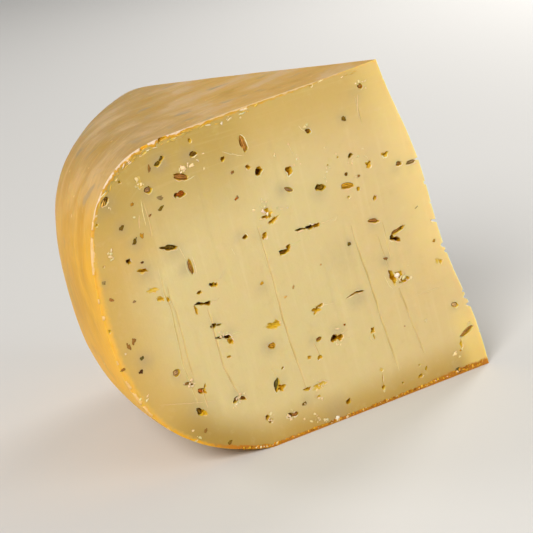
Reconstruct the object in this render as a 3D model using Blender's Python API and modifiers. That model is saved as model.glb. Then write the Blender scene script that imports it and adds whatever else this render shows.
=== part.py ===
# A wedge cut from a wheel of gouda with cumin seeds in it. The waxed rind runs over the top,
# round the bulged side and under; the knife has left two cut faces with small open eyes, seeds
# that stand a little proud, and a tip edge that wavers. Metres, +Z up. The shown cut faces -Y,
# the tip is at the +X end, and the wedge stands on the worn flat under its rim.

import math
import random

import bmesh
import bpy
from mathutils import Matrix, Vector

MM = 0.001

# The whole wheel, measured from its own axis and base
WHEEL_RADIUS = 121 * MM
WHEEL_HEIGHT = 100 * MM
WIDEST_HEIGHT = 58 * MM
TOP_FLAT_RADIUS = 90 * MM
BASE_FLAT_RADIUS = 35 * MM
TOP_CROWN = 0.9 * MM
TOP_ROUNDNESS = 2.5  # exponents of the superellipses that round the two shoulders
BASE_ROUNDNESS = 2.6
UNEVENNESS = 0.35 * MM
TURN_STEPS = 120

# The wedge cut from it
WEDGE_ANGLE = math.radians(60)
TIP_RADIUS_TOP = 21.8 * MM  # the cuts cross this far from the axis, on the shown face
TIP_RADIUS_BASE = 6 * MM
TIP_WAVE = 0.75 * MM
TIP_WAVE_LENGTH = 57 * MM
TIP_WAVE_START = 43 * MM
KNIFE_WAVE = 0.18 * MM
KNIFE_CELL = 9.5 * MM
KNIFE_LENGTH = 290 * MM
KNIFE_HEIGHT = 135 * MM
KNIFE_DEPTH = 170 * MM

# How it stands
LEAN = math.radians(4.1)
BASE_CUT = -0.2 * MM  # height over the wheel's base where its axis meets the floor
AXIS_X = 65.0 * MM  # where the wheel's axis meets the floor, from the part's own origin
AXIS_Y = -50.0 * MM

# Places on the shown cut, in millimetres from the wheel's axis and up from its base, then the
# length, width and slope in degrees. The eyes are open, and the seeds lie in the surface.
SHOWN_EYES = (
    (67, 69.5, 4.5, 3.8, 0),
    (54.5, 62, 8.5, 1.8, -6),
    (63.5, 58, 4, 1.8, -20),
    (66, 82.5, 2.4, 2.6, 0),
    (57, 79.5, 2.6, 2.4, 0),
    (25.5, 74, 2.6, 1.8, 0),
    (31.5, 72.5, 2, 2, 0),
    (104.5, 61.5, 3.6, 1.7, -22),
    (103, 58, 4, 1.6, -35),
    (92, 53, 5.6, 1.7, -22),
    (87.5, 56.5, 3, 1.5, -40),
    (88, 40.5, 5, 2.2, -18),
    (73, 39, 5.2, 1.7, -15),
    (58, 38.5, 3.4, 2, 0),
    (45, 38.5, 6.2, 1.1, -5),
    (29.5, 37.5, 5.5, 4.6, 0),
    (28.5, 50, 5.4, 2.4, -12),
    (89, 22, 4.5, 2.4, 0),
    (75.5, 21.5, 3.2, 4, 0),
    (54, 27.5, 3.8, 2, -25),
    (42, 25, 2, 2.5, 0),
    (64, 16.5, 7.7, 1.8, -10),
    (42.5, 7.5, 1.4, 2.8, 0),
)
SHOWN_SEEDS = (
    (89, 88.5, 4.6, 1.5, -30),
    (90.5, 84, 3.2, 1.4, 0),
    (97, 71.5, 4.9, 1.6, -22),
    (92.5, 63.5, 4.6, 1.4, 85),
    (68.5, 91.5, 4.4, 1.5, -80),
    (94, 94.5, 2.7, 1.4, 30),
    (111.5, 89.5, 2.8, 1.5, 50),
    (84, 93.5, 2.2, 1.3, 0),
    (106.5, 68, 3.4, 1.3, -27),
    (58, 74.5, 3.2, 1.6, -30),
    (49, 71.5, 3.8, 2.1, -12),
    (40, 69.5, 4.3, 1.5, -15),
    (48.5, 88, 2.2, 1.2, -45),
    (34, 56.5, 3.8, 1.3, -17),
    (90, 45.5, 3.3, 1.3, -10),
    (105, 37, 2, 1.5, 0),
    (98.5, 29.5, 2.8, 1.7, 0),
    (100.5, 23.5, 3, 1.7, 90),
    (74.5, 33.5, 2.3, 1.5, -25),
    (60, 29.5, 1.9, 1.4, 0),
    (74, 11.5, 4.7, 1.6, -20),
    (55, 8.5, 2, 1.6, 0),
    (13, 22.5, 2.5, 1.3, -30),
    (14, 13, 4.6, 1.3, 15),
)
TIP_NICKS = (69, 61.5, 50, 41.5, 23.5, 20)  # heights where the tip edge is chipped
NICK_LENGTH = 3.4 * MM
NICK_WIDTH = 1.2 * MM

# The other cut has the same mix, scattered
BACK_EYES = 24
BACK_SEEDS = 26
BACK_SPACING = 7.5 * MM
EDGE_MARGIN = 5 * MM
EYE_DEPTH = 0.85  # of the eye's own width
SEED_PROUD = 0.3 * MM
SEED_THICKNESS = 1.2 * MM

PASTE_COLOUR = (0.74, 0.58, 0.22, 1)
RIND_COLOUR = (0.72, 0.42, 0.12, 1)
SEED_COLOUR = (0.10, 0.07, 0.03, 1)


def clear_scene():
    for item in list(bpy.data.objects):
        bpy.data.objects.remove(item, do_unlink=True)


def new_collection(name):
    made = bpy.data.collections.new(name)
    bpy.context.scene.collection.children.link(made)
    return made


def new_material(name, colour, roughness):
    made = bpy.data.materials.new(name)
    made.use_nodes = True
    shader = made.node_tree.nodes["Principled BSDF"]
    shader.inputs["Base Color"].default_value = colour
    shader.inputs["Roughness"].default_value = roughness
    shader.inputs["Metallic"].default_value = 0
    return made


def mesh_object(name, mesh, collection, material, parent=None):
    mesh.materials.append(material)
    made = bpy.data.objects.new(name, mesh)
    collection.objects.link(made)
    made.parent = parent
    return made


def from_bmesh(name, shape, collection, material, parent=None):
    mesh = bpy.data.meshes.new(name)
    shape.to_mesh(mesh)
    shape.free()
    return mesh_object(name, mesh, collection, material, parent)


def evaluated_mesh(item):
    graph = bpy.context.evaluated_depsgraph_get()
    return bpy.data.meshes.new_from_object(item.evaluated_get(graph))


def top_crown(radius):
    return TOP_CROWN * (1 - (radius / WHEEL_RADIUS) ** 2)


def side_radius(height):
    """How far the wheel reaches at this height."""
    if height > WIDEST_HEIGHT:
        share = min(1, (height - WIDEST_HEIGHT) / (WHEEL_HEIGHT - WIDEST_HEIGHT))
        flat, power = TOP_FLAT_RADIUS, TOP_ROUNDNESS
    else:
        share = min(1, (WIDEST_HEIGHT - height) / WIDEST_HEIGHT)
        flat, power = BASE_FLAT_RADIUS, BASE_ROUNDNESS
    return flat + (WHEEL_RADIUS - flat) * (1 - share**power) ** (1 / power)


def wheel_profile():
    """Radius and height from the middle of the top, down the outer side, to the middle of the base."""
    points = []
    flat_steps = 8
    for step in range(flat_steps):
        radius = TOP_FLAT_RADIUS * step / flat_steps
        points.append((radius, WHEEL_HEIGHT + top_crown(radius)))
    shoulder_steps = 16
    for step in range(shoulder_steps + 1):
        turn = math.pi / 2 * step / shoulder_steps
        reach = math.sin(turn) ** (2 / TOP_ROUNDNESS)
        rise = max(0, math.cos(turn)) ** (2 / TOP_ROUNDNESS)
        radius = TOP_FLAT_RADIUS + (WHEEL_RADIUS - TOP_FLAT_RADIUS) * reach
        height = WIDEST_HEIGHT + (WHEEL_HEIGHT - WIDEST_HEIGHT) * rise
        points.append((radius, height + top_crown(radius)))
    belly_steps = 20
    for step in range(1, belly_steps + 1):
        turn = math.pi / 2 * step / belly_steps
        reach = max(0, math.cos(turn)) ** (2 / BASE_ROUNDNESS)
        fall = math.sin(turn) ** (2 / BASE_ROUNDNESS)
        radius = BASE_FLAT_RADIUS + (WHEEL_RADIUS - BASE_FLAT_RADIUS) * reach
        points.append((radius, WIDEST_HEIGHT * (1 - fall)))
    points.append((0, 0))
    return points


def unevenness(point):
    """The slow bumps that a wheel keeps from its mould and its shelf."""
    x, y, z = point.x / MM, point.y / MM, point.z / MM
    slow = math.sin(x / 17 + 0.6) * math.cos(y / 21 - 0.4)
    quick = math.sin((x + y) / 9.3 + z / 13 + 1.1)
    return UNEVENNESS * (0.7 * slow + 0.3 * quick)


def make_wheel(collection, material, parent):
    profile = bmesh.new()
    corners = [profile.verts.new((radius, 0, height)) for radius, height in wheel_profile()]
    for upper, lower in zip(corners, corners[1:]):
        profile.edges.new((upper, lower))
    wheel = from_bmesh("gouda_wedge", profile, collection, material, parent)
    turn = wheel.modifiers.new("Turn", "SCREW")
    turn.steps = TURN_STEPS
    turn.render_steps = TURN_STEPS
    turn.use_merge_vertices = True
    turn.merge_threshold = 0.00001
    whole = evaluated_mesh(wheel)
    wheel.modifiers.clear()
    wheel.data = whole
    middle = Vector((0, 0, WIDEST_HEIGHT))
    for vertex in whole.vertices:
        outward = (vertex.co - middle).normalized()
        vertex.co += outward * unevenness(vertex.co)
    return wheel


def tip_radius(height):
    """Where the two cuts cross, from the wheel's axis; the knife wandered on its way down."""
    straight = TIP_RADIUS_BASE + (TIP_RADIUS_TOP - TIP_RADIUS_BASE) * height / WHEEL_HEIGHT
    wander = 1 - math.cos(math.tau * (height - TIP_WAVE_START) / TIP_WAVE_LENGTH)
    return straight - TIP_WAVE * wander


def tip_point(height):
    return Vector((-tip_radius(height), 0, height))


def back_direction():
    return Vector((-math.cos(WEDGE_ANGLE), math.sin(WEDGE_ANGLE), 0))


def back_frame():
    """Axes of the far cut as columns: along it from the tip, up it, and out of the cheese."""
    along = back_direction()
    straight_tip = Vector((TIP_RADIUS_BASE - TIP_RADIUS_TOP, 0, WHEEL_HEIGHT)).normalized()
    out = along.cross(straight_tip)
    up = out.cross(along)
    return Matrix((along, up, out)).transposed()


def shown_frame():
    """Axes of the shown cut as columns: to the right along it, up it, and out of the cheese."""
    return Matrix(((1, 0, 0), (0, 0, 1), (0, -1, 0))).transposed()


def knife_wave(across, up):
    """How far a knife wanders sideways as it is pressed down through the paste."""
    slow = math.sin(up / (19 * MM) + across / (46 * MM) + 0.8)
    quick = math.sin(up / (8.5 * MM) - across / (31 * MM))
    return KNIFE_WAVE * (0.7 * slow + 0.3 * quick)


def make_knife(name, place, frame, wander, collection, material, parent):
    """A block whose inner face is the cut; local +Z points out of the cheese."""
    shape = bmesh.new()
    columns = round(KNIFE_LENGTH / KNIFE_CELL)
    rows = round(KNIFE_HEIGHT / KNIFE_CELL)
    bmesh.ops.create_grid(shape, x_segments=columns, y_segments=rows, size=0.5)
    shape.transform(Matrix.Diagonal((KNIFE_LENGTH, KNIFE_HEIGHT, 1, 1)))
    outside = bmesh.ops.extrude_face_region(shape, geom=shape.faces[:])["geom"]
    inner = set(shape.verts) - {item for item in outside if isinstance(item, bmesh.types.BMVert)}
    for vertex in shape.verts:
        if vertex in inner:
            vertex.co.z = wander(vertex.co.x, vertex.co.y)
        else:
            vertex.co.z = KNIFE_DEPTH
    bmesh.ops.recalc_face_normals(shape, faces=shape.faces)
    knife = from_bmesh(name, shape, collection, material, parent)
    knife.matrix_local = Matrix.Translation(place) @ frame.to_4x4()
    return knife


def lump(name, place, frame, size, slope, sides, collection, material, parent):
    """A small low-sided ellipsoid: an eye to cut out, or a seed to fuse on."""
    shape = bmesh.new()
    if sides:
        bmesh.ops.create_uvsphere(shape, u_segments=sides, v_segments=4, radius=0.5)
        shape.transform(Matrix.Rotation(math.pi / 2, 4, "Y"))
    else:
        bmesh.ops.create_icosphere(shape, subdivisions=1, radius=0.5)
    item = from_bmesh(name, shape, collection, material, parent)
    turned = frame.to_4x4() @ Matrix.Rotation(slope, 4, "Z")
    item.matrix_local = Matrix.Translation(place) @ turned @ Matrix.Diagonal((*size, 1))
    return item


def eye(index, place, frame, length, width, slope, collection, material, parent):
    depth = 2 * EYE_DEPTH * min(width, length)
    size = (length, width, depth)
    return lump(f"eye_{index}", place, frame, size, slope, 0, collection, material, parent)


def seed(index, place, frame, length, width, slope, collection, material, parent):
    sunk = place - frame.col[2] * (SEED_THICKNESS / 2 - SEED_PROUD)
    size = (length, width, SEED_THICKNESS)
    return lump(f"seed_{index}", sunk, frame, size, slope, 6, collection, material, parent)


def shown_place(from_axis, height):
    """A point on the shown cut, on the knife's own slightly wavy face."""
    x = -from_axis * MM
    z = height * MM
    out = knife_wave(x, z - WHEEL_HEIGHT / 2)
    return Vector((x, -out, z))


def back_places(draw, count):
    """Points scattered over the far cut, none near its edges or too near another."""
    places = []
    while len(places) < count:
        height = draw.uniform(EDGE_MARGIN, WHEEL_HEIGHT - EDGE_MARGIN)
        reach = draw.uniform(EDGE_MARGIN, WHEEL_RADIUS)
        point = tip_point(height) + back_direction() * reach
        inside = math.hypot(point.x, point.y) < side_radius(height) - EDGE_MARGIN
        if inside and all((point - other).length > BACK_SPACING for other in places):
            places.append(point)
    return places


def cut_away(target, name, operand):
    cut = target.modifiers.new(name, "BOOLEAN")
    cut.operation = "DIFFERENCE"
    cut.material_mode = "TRANSFER"
    if isinstance(operand, bpy.types.Collection):
        cut.operand_type = "COLLECTION"
        cut.collection = operand
    else:
        cut.object = operand
    return cut


def main():
    clear_scene()
    parts = new_collection("gouda_wedge")
    knives = new_collection("knives")
    eyes = new_collection("eyes")
    seeds = new_collection("seeds")
    paste = new_material("paste", PASTE_COLOUR, 0.45)
    rind = new_material("rind", RIND_COLOUR, 0.4)
    seed_skin = new_material("seed", SEED_COLOUR, 0.7)

    axis = bpy.data.objects.new("wheel_axis", None)
    parts.objects.link(axis)
    lean_about = Vector((-math.sin(WEDGE_ANGLE / 2), -math.cos(WEDGE_ANGLE / 2), 0))
    lean = Matrix.Rotation(LEAN, 4, lean_about)
    axis.matrix_world = Matrix.Translation((AXIS_X, AXIS_Y, -BASE_CUT)) @ lean

    wedge = make_wheel(parts, rind, axis)
    shown = shown_frame()
    back = back_frame()
    middle = WHEEL_HEIGHT / 2

    shown_knife = make_knife(
        "shown_knife", Vector((0, 0, middle)), shown, knife_wave, knives, paste, axis
    )

    straight_tip = Vector((-(TIP_RADIUS_BASE + TIP_RADIUS_TOP) / 2, 0, middle))
    def back_wander(across, up):
        height = middle + up
        wander = 1 - math.cos(math.tau * (height - TIP_WAVE_START) / TIP_WAVE_LENGTH)
        return TIP_WAVE * math.sin(WEDGE_ANGLE) * wander + knife_wave(across, up) / 2

    back_knife = make_knife(
        "back_knife", straight_tip, back, back_wander, knives, paste, axis
    )

    floor_shape = bmesh.new()
    bmesh.ops.create_cube(floor_shape, size=KNIFE_LENGTH * 2)
    floor_cut = from_bmesh("floor_cut", floor_shape, knives, rind)
    floor_cut.location.z = -KNIFE_LENGTH

    for index, (from_axis, height, length, width, slope) in enumerate(SHOWN_EYES):
        place = shown_place(from_axis, height)
        turn = math.radians(slope)
        eye(f"shown_{index}", place, shown, length * MM, width * MM, turn, eyes, paste, axis)
    for index, (from_axis, height, length, width, slope) in enumerate(SHOWN_SEEDS):
        place = shown_place(from_axis, height)
        turn = math.radians(slope)
        seed(f"shown_{index}", place, shown, length * MM, width * MM, turn, seeds, seed_skin, axis)

    draw = random.Random(7)
    places = back_places(draw, BACK_EYES + BACK_SEEDS)
    for index, place in enumerate(places):
        turn = draw.gauss(0, 0.5)
        if index < BACK_EYES:
            length = draw.uniform(2, 6) * MM
            width = draw.uniform(1.6, 2.6) * MM
            eye(f"back_{index}", place, back, length, width, turn, eyes, paste, axis)
        else:
            length = draw.uniform(2.4, 4.8) * MM
            width = draw.uniform(1.3, 1.9) * MM
            seed(f"back_{index}", place, back, length, width, turn, seeds, seed_skin, axis)

    for index, height in enumerate(TIP_NICKS):
        place = tip_point(height * MM)
        size = (NICK_LENGTH, NICK_WIDTH, NICK_LENGTH)
        lump(f"nick_{index}", place, shown, size, -0.2, 0, eyes, paste, axis)

    for group in (knives, eyes, seeds):
        for item in group.objects:
            item.hide_render = True
            item.display_type = "WIRE"

    cut_away(wedge, "Shown cut", shown_knife)
    cut_away(wedge, "Far cut", back_knife)
    cut_away(wedge, "Resting flat", floor_cut)
    cut_away(wedge, "Eyes", eyes)
    fuse = wedge.modifiers.new("Seeds", "BOOLEAN")
    fuse.operation = "UNION"
    fuse.material_mode = "TRANSFER"
    fuse.operand_type = "COLLECTION"
    fuse.collection = seeds
    bpy.context.view_layer.update()
    finished = evaluated_mesh(wedge)
    wedge.modifiers.clear()
    wedge.data = finished
    finished.shade_smooth()
    finished.set_sharp_from_angle(angle=math.radians(35))
    for group in (knives, eyes, seeds):
        for item in list(group.objects):
            bpy.data.objects.remove(item, do_unlink=True)
        bpy.data.collections.remove(group)


main()
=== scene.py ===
import math
import random

import bmesh
import bpy
import numpy as np
from mathutils import Matrix, Vector, noise


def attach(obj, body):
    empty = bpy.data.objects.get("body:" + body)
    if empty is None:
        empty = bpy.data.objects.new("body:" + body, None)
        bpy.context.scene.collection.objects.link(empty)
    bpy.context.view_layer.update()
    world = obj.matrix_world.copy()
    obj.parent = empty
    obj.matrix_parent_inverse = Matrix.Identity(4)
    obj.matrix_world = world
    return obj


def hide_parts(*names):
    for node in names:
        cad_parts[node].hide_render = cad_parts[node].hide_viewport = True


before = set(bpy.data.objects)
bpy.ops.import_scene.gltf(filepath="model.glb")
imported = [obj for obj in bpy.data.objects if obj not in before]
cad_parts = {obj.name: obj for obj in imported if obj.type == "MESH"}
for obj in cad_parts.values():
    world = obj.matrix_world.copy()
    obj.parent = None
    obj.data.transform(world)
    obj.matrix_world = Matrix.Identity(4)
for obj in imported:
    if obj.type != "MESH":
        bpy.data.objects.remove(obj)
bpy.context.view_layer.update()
mm = 0.001

# the wheel and the way it was cut, in millimetres, as in the solid
wheel = {
    "radius": 121, "height": 100, "widest": 58,
    "topFlat": 90, "baseFlat": 35, "crown": 0.9,
    "topRound": 2.5, "baseRound": 2.6,
    "samples": (60, 240, 300),   # points along the flat top, the upper round and the lower one
    "uneven": 0.35,              # slow bumps
    "rindStep": 1.5,             # size of the rind's facets
    "edgeStep": 0.5,             # steps of the line that marks along the rind's edge follow
    "turnFrom": -6, "turnTo": 62,
    "ripple": 0.1, "rippleSize": 8,
}
cutting = {
    "angle": 60,
    "tipTop": 21.8, "tipBase": 6,
    "tipWave": 0.75, "tipWaveLength": 57, "tipWaveStart": 43,
    "knifeWave": 0.18,
    "cell": 1.2,                 # size of the cut faces' facets
    "depth": 32,                 # how far a knife reaches out of the cheese
    "grain": 0.035, "grainSize": 4.5,
}
standing = {
    "lean": 4.1,
    "axis": (65.0, -50.0, 0.2),  # where the wheel's axis meets the floor
}

halfAngle = math.radians(cutting["angle"] / 2)
leanAbout = Vector((-math.sin(halfAngle), -math.cos(halfAngle), 0))
lean = Matrix.Rotation(math.radians(standing["lean"]), 4, leanAbout)
wheelPlace = Matrix.Translation(Vector(standing["axis"]) * mm) @ lean
floorUp = lean.to_3x3().transposed() @ Vector((0, 0, 1))   # the floor's normal, seen from the wheel


def walkedAlong(stops):
    # how far it is from the first stop to each of them
    return np.concatenate([[0], np.cumsum(np.hypot(*np.diff(stops, axis=0).T))])


def rindPoints(step):
    # radius and height from the middle of the top, down the side, to the middle of the base
    w = wheel
    flat, upper, lower = w["samples"]
    line = [(w["topFlat"] * i / flat, w["height"]) for i in range(flat)]
    for i in range(upper + 1):
        turn, power = math.pi / 2 * i / upper, 2 / w["topRound"]
        line.append((w["topFlat"] + (w["radius"] - w["topFlat"]) * math.sin(turn) ** power,
                     w["widest"] + (w["height"] - w["widest"]) * max(0, math.cos(turn)) ** power))
    for i in range(1, lower + 1):
        turn, power = math.pi / 2 * i / lower, 2 / w["baseRound"]
        line.append((w["baseFlat"] + (w["radius"] - w["baseFlat"]) * max(0, math.cos(turn)) ** power,
                     w["widest"] * (1 - math.sin(turn) ** power)))
    line.append((0, 0))
    line = np.array([(r, z + (w["crown"] * (1 - (r / w["radius"]) ** 2) if z > w["widest"] else 0))
                     for r, z in line])
    walked = walkedAlong(line)
    even = np.linspace(0, walked[-1], round(walked[-1] / step) + 1)
    return np.stack([np.interp(even, walked, part) for part in line.T], axis=1), even


def unevenness(p):
    slow = math.sin(p.x / 17 + 0.6) * math.cos(p.y / 21 - 0.4)
    quick = math.sin((p.x + p.y) / 9.3 + p.z / 13 + 1.1)
    return wheel["uneven"] * (0.7 * slow + 0.3 * quick)


def onRind(p):
    # a point of the smooth wheel moved to where the real rind is
    outward = (p - Vector((0, 0, wheel["widest"]))).normalized()
    ripple = noise.noise(p / wheel["rippleSize"]) + 0.4 * noise.noise(p / (0.35 * wheel["rippleSize"]))
    return p + outward * (unevenness(p) + wheel["ripple"] * ripple)


sideLine = np.array(sorted((z, r) for r, z in rindPoints(1.0)[0])).T.copy()


def aboveFloor(p):
    return p.dot(floorUp) + standing["axis"][2]


def inWheel(p, margin):
    # whether a point lies this far inside the rind and above the floor
    side, top = np.interp(p.z, *sideLine), wheel["height"] + wheel["crown"]
    return math.hypot(p.x, p.y) < side - margin and p.z < top - margin and aboveFloor(p) > margin


def knifeWave(across, up):
    slow = math.sin(up / 19 + across / 46 + 0.8)
    quick = math.sin(up / 8.5 - across / 31)
    return cutting["knifeWave"] * (0.7 * slow + 0.3 * quick)


def tipWander(height):
    return 1 - math.cos(math.tau * (height - cutting["tipWaveStart"]) / cutting["tipWaveLength"])


def tipRadius(height):
    straight = cutting["tipBase"] + (cutting["tipTop"] - cutting["tipBase"]) * height / wheel["height"]
    return straight - cutting["tipWave"] * tipWander(height)


farAlong = Vector((-math.cos(2 * halfAngle), math.sin(2 * halfAngle), 0))
farOut = farAlong.cross(Vector((cutting["tipBase"] - cutting["tipTop"], 0, wheel["height"])).normalized())
farUp = farOut.cross(farAlong)


def farWander(across, up):
    wander = cutting["tipWave"] * math.sin(2 * halfAngle) * tipWander(wheel["height"] / 2 + up)
    return wander + knifeWave(across, up) / 2


# each cut has its own axes: along it, up it and out of the cheese
shownCut = {
    "name": "shown", "origin": Vector((0, 0, wheel["height"] / 2)),
    "along": Vector((1, 0, 0)), "up": Vector((0, 0, 1)), "out": Vector((0, -1, 0)),
    "wander": knifeWave, "spread": ((-132, 5), (-58, 58)),
}
farCut = {
    "name": "far", "origin": Vector((-(cutting["tipBase"] + cutting["tipTop"]) / 2, 0, wheel["height"] / 2)),
    "along": farAlong, "up": farUp, "out": farOut,
    "wander": farWander, "spread": ((-14, 122), (-62, 62)),
}


def cutHeight(cut, across, up):
    p = Vector((across, up, 7.3 if cut is farCut else 0)) / cutting["grainSize"]
    return cut["wander"](across, up) + cutting["grain"] * (noise.noise(p) + 0.5 * noise.noise(p * 2.7))


def onCut(cut, across, up, proud=0):
    out = cutHeight(cut, across, up) + proud
    return cut["origin"] + cut["along"] * across + cut["up"] * up + cut["out"] * out


def cutAxes(cut):
    return Matrix((cut["along"], cut["up"], cut["out"])).transposed()


def turnOutward(shape):
    # every closed lump in the mesh gets its faces turned outward
    bmesh.ops.recalc_face_normals(shape, faces=shape.faces)
    left = set(shape.faces)
    while left:
        lump, queue, volume = [], [left.pop()], 0
        while queue:
            face = queue.pop()
            lump.append(face)
            corners = [vertex.co for vertex in face.verts]
            for second, third in zip(corners[1:], corners[2:]):
                volume += corners[0].dot(second.cross(third))
            for vertex in face.verts:
                for beside in vertex.link_faces:
                    if beside in left:
                        left.remove(beside)
                        queue.append(beside)
        if volume < 0:
            bmesh.ops.reverse_faces(shape, faces=lump)


def newObject(name, shape, materials):
    # a mesh worked out in the wheel's own millimetres, set down where the wedge stands
    turnOutward(shape)
    shape.transform(wheelPlace @ Matrix.Scale(mm, 4))
    mesh = bpy.data.meshes.new(name)
    shape.to_mesh(mesh)
    shape.free()
    for material in materials:
        mesh.materials.append(material)
    mesh.shade_smooth()
    made = bpy.data.objects.new(name, mesh)
    bpy.context.scene.collection.objects.link(made)
    return made


# material helpers
class Wire:
    # one output of a node; sums written on wires add Math nodes
    def __init__(self, tree, socket=None):
        self.tree = tree
        self.socket = socket

    def node(self, kind, settings=None, inputs=None, output=0):
        made = self.tree.nodes.new(kind)
        for name, value in (settings or {}).items():
            setattr(made, name, value)
        for name, value in (inputs or {}).items():
            self.plug(made.inputs[name], value)
        return Wire(self.tree, made.outputs[output])

    def plug(self, target, value):
        if isinstance(value, Wire):
            self.tree.links.new(value.socket, target)
        elif isinstance(value, (tuple, list)) and len(value) == 3 and target.type == "RGBA":
            target.default_value = (*value, 1)
        else:
            target.default_value = value

    def sum(self, operation, first, second, clamp=False):
        settings = {"operation": operation, "use_clamp": clamp}
        return self.node("ShaderNodeMath", settings, {0: first, 1: second})

    def __add__(self, other): return self.sum("ADD", self, other)
    def __radd__(self, other): return self.sum("ADD", other, self)
    def __sub__(self, other): return self.sum("SUBTRACT", self, other)
    def __rsub__(self, other): return self.sum("SUBTRACT", other, self)
    def __mul__(self, other): return self.sum("MULTIPLY", self, other)
    def __rmul__(self, other): return self.sum("MULTIPLY", other, self)
    def __truediv__(self, other): return self.sum("DIVIDE", self, other)
    def __rtruediv__(self, other): return self.sum("DIVIDE", other, self)

    def clip(self):
        return self.sum("ADD", self, 0.0, clamp=True)

    def ease(self, low, high):
        # 0 below low, 1 above high, and smooth between; low may be the larger
        return self.node("ShaderNodeMapRange", {"interpolation_type": "SMOOTHSTEP"},
                         {"Value": self, "From Min": low, "From Max": high, "To Min": 0.0, "To Max": 1.0})

    def over(self, below, colour):
        # colour laid over below by this much
        return self.node("ShaderNodeMix", {"data_type": "RGBA"}, {0: self, 6: below, 7: colour}, 2)

    def attribute(self, name, output="Fac"):
        return self.node("ShaderNodeAttribute", {"attribute_name": name}, {}, output)

    def noiseAt(self, place, size, detail=2.0, roughness=0.5, distortion=0.0):
        return self.node("ShaderNodeTexNoise", {},
                         {"Vector": place, "Scale": 1 / size, "Detail": detail,
                          "Roughness": roughness, "Distortion": distortion}, "Fac")

    def stretch(self, place, scale):
        return self.node("ShaderNodeVectorMath", {"operation": "MULTIPLY"}, {0: place, 1: scale})


def newMaterial(name, fixed, soft=None):
    # fixed holds the values that are the same all over, soft how light spreads within
    made = bpy.data.materials.new(name)
    made.use_nodes = True
    shader = made.node_tree.nodes["Principled BSDF"]
    if soft:
        weight, radius, scale = soft
        fixed = {**fixed, "Subsurface Weight": weight, "Subsurface Radius": radius,
                 "Subsurface Scale": scale * mm}
    for socket, value in fixed.items():
        shader.inputs[socket].default_value = value
    return made, shader, Wire(made.node_tree)


def lay(colour, look, *layers):
    # each layer is how much of a colour of the look lies over the ones before it
    for amount, name in layers:
        colour = amount.over(colour, look[name])
    return colour


def finishMaterial(wire, shader, colour, roughness, relief, depth):
    bump = wire.node("ShaderNodeBump", {}, {"Height": relief, "Distance": depth * mm, "Strength": 1.0})
    for socket, value in (("Base Color", colour), ("Roughness", roughness), ("Normal", bump)):
        wire.plug(shader.inputs[socket], value)


def millimetres(wire):
    # the wheel's own coordinates again
    place = wire.node("ShaderNodeTexCoord", {}, {}, "Object")
    stand = {"Location": wheelPlace.translation, "Rotation": wheelPlace.to_euler()}
    place = wire.node("ShaderNodeMapping", {"vector_type": "TEXTURE"}, {"Vector": place, **stand})
    return wire.stretch(place, (1000, 1000, 1000))


# the finishes
# some of these colours are painted light: the glow of the thin tip, the lit corner low by the tip and the
# glow just inside the rind; the darker rim colour low down the side is painted shade
pasteLook = {
    "heart": (0.68, 0.55, 0.26), "warm": (0.7, 0.512, 0.225),
    "rimTop": (0.6, 0.415, 0.125), "rimCorner": (0.51, 0.345, 0.085), "rimSide": (0.61, 0.4, 0.105),
    "rimLowShade": (0.43, 0.275, 0.055), "rimBase": (0.51, 0.33, 0.078), "edge": (0.86, 0.5, 0.065),
    "line": (0.74, 0.37, 0.01), "tip": (0.98, 0.77, 0.29), "shade": (0.38, 0.3, 0.18),
    "pale": (0.84, 0.71, 0.4), "gold": (0.46, 0.325, 0.08), "litFacet": (0.84, 0.63, 0.2),
    "base": (0.5, 0.185, 0.006),
}


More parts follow.
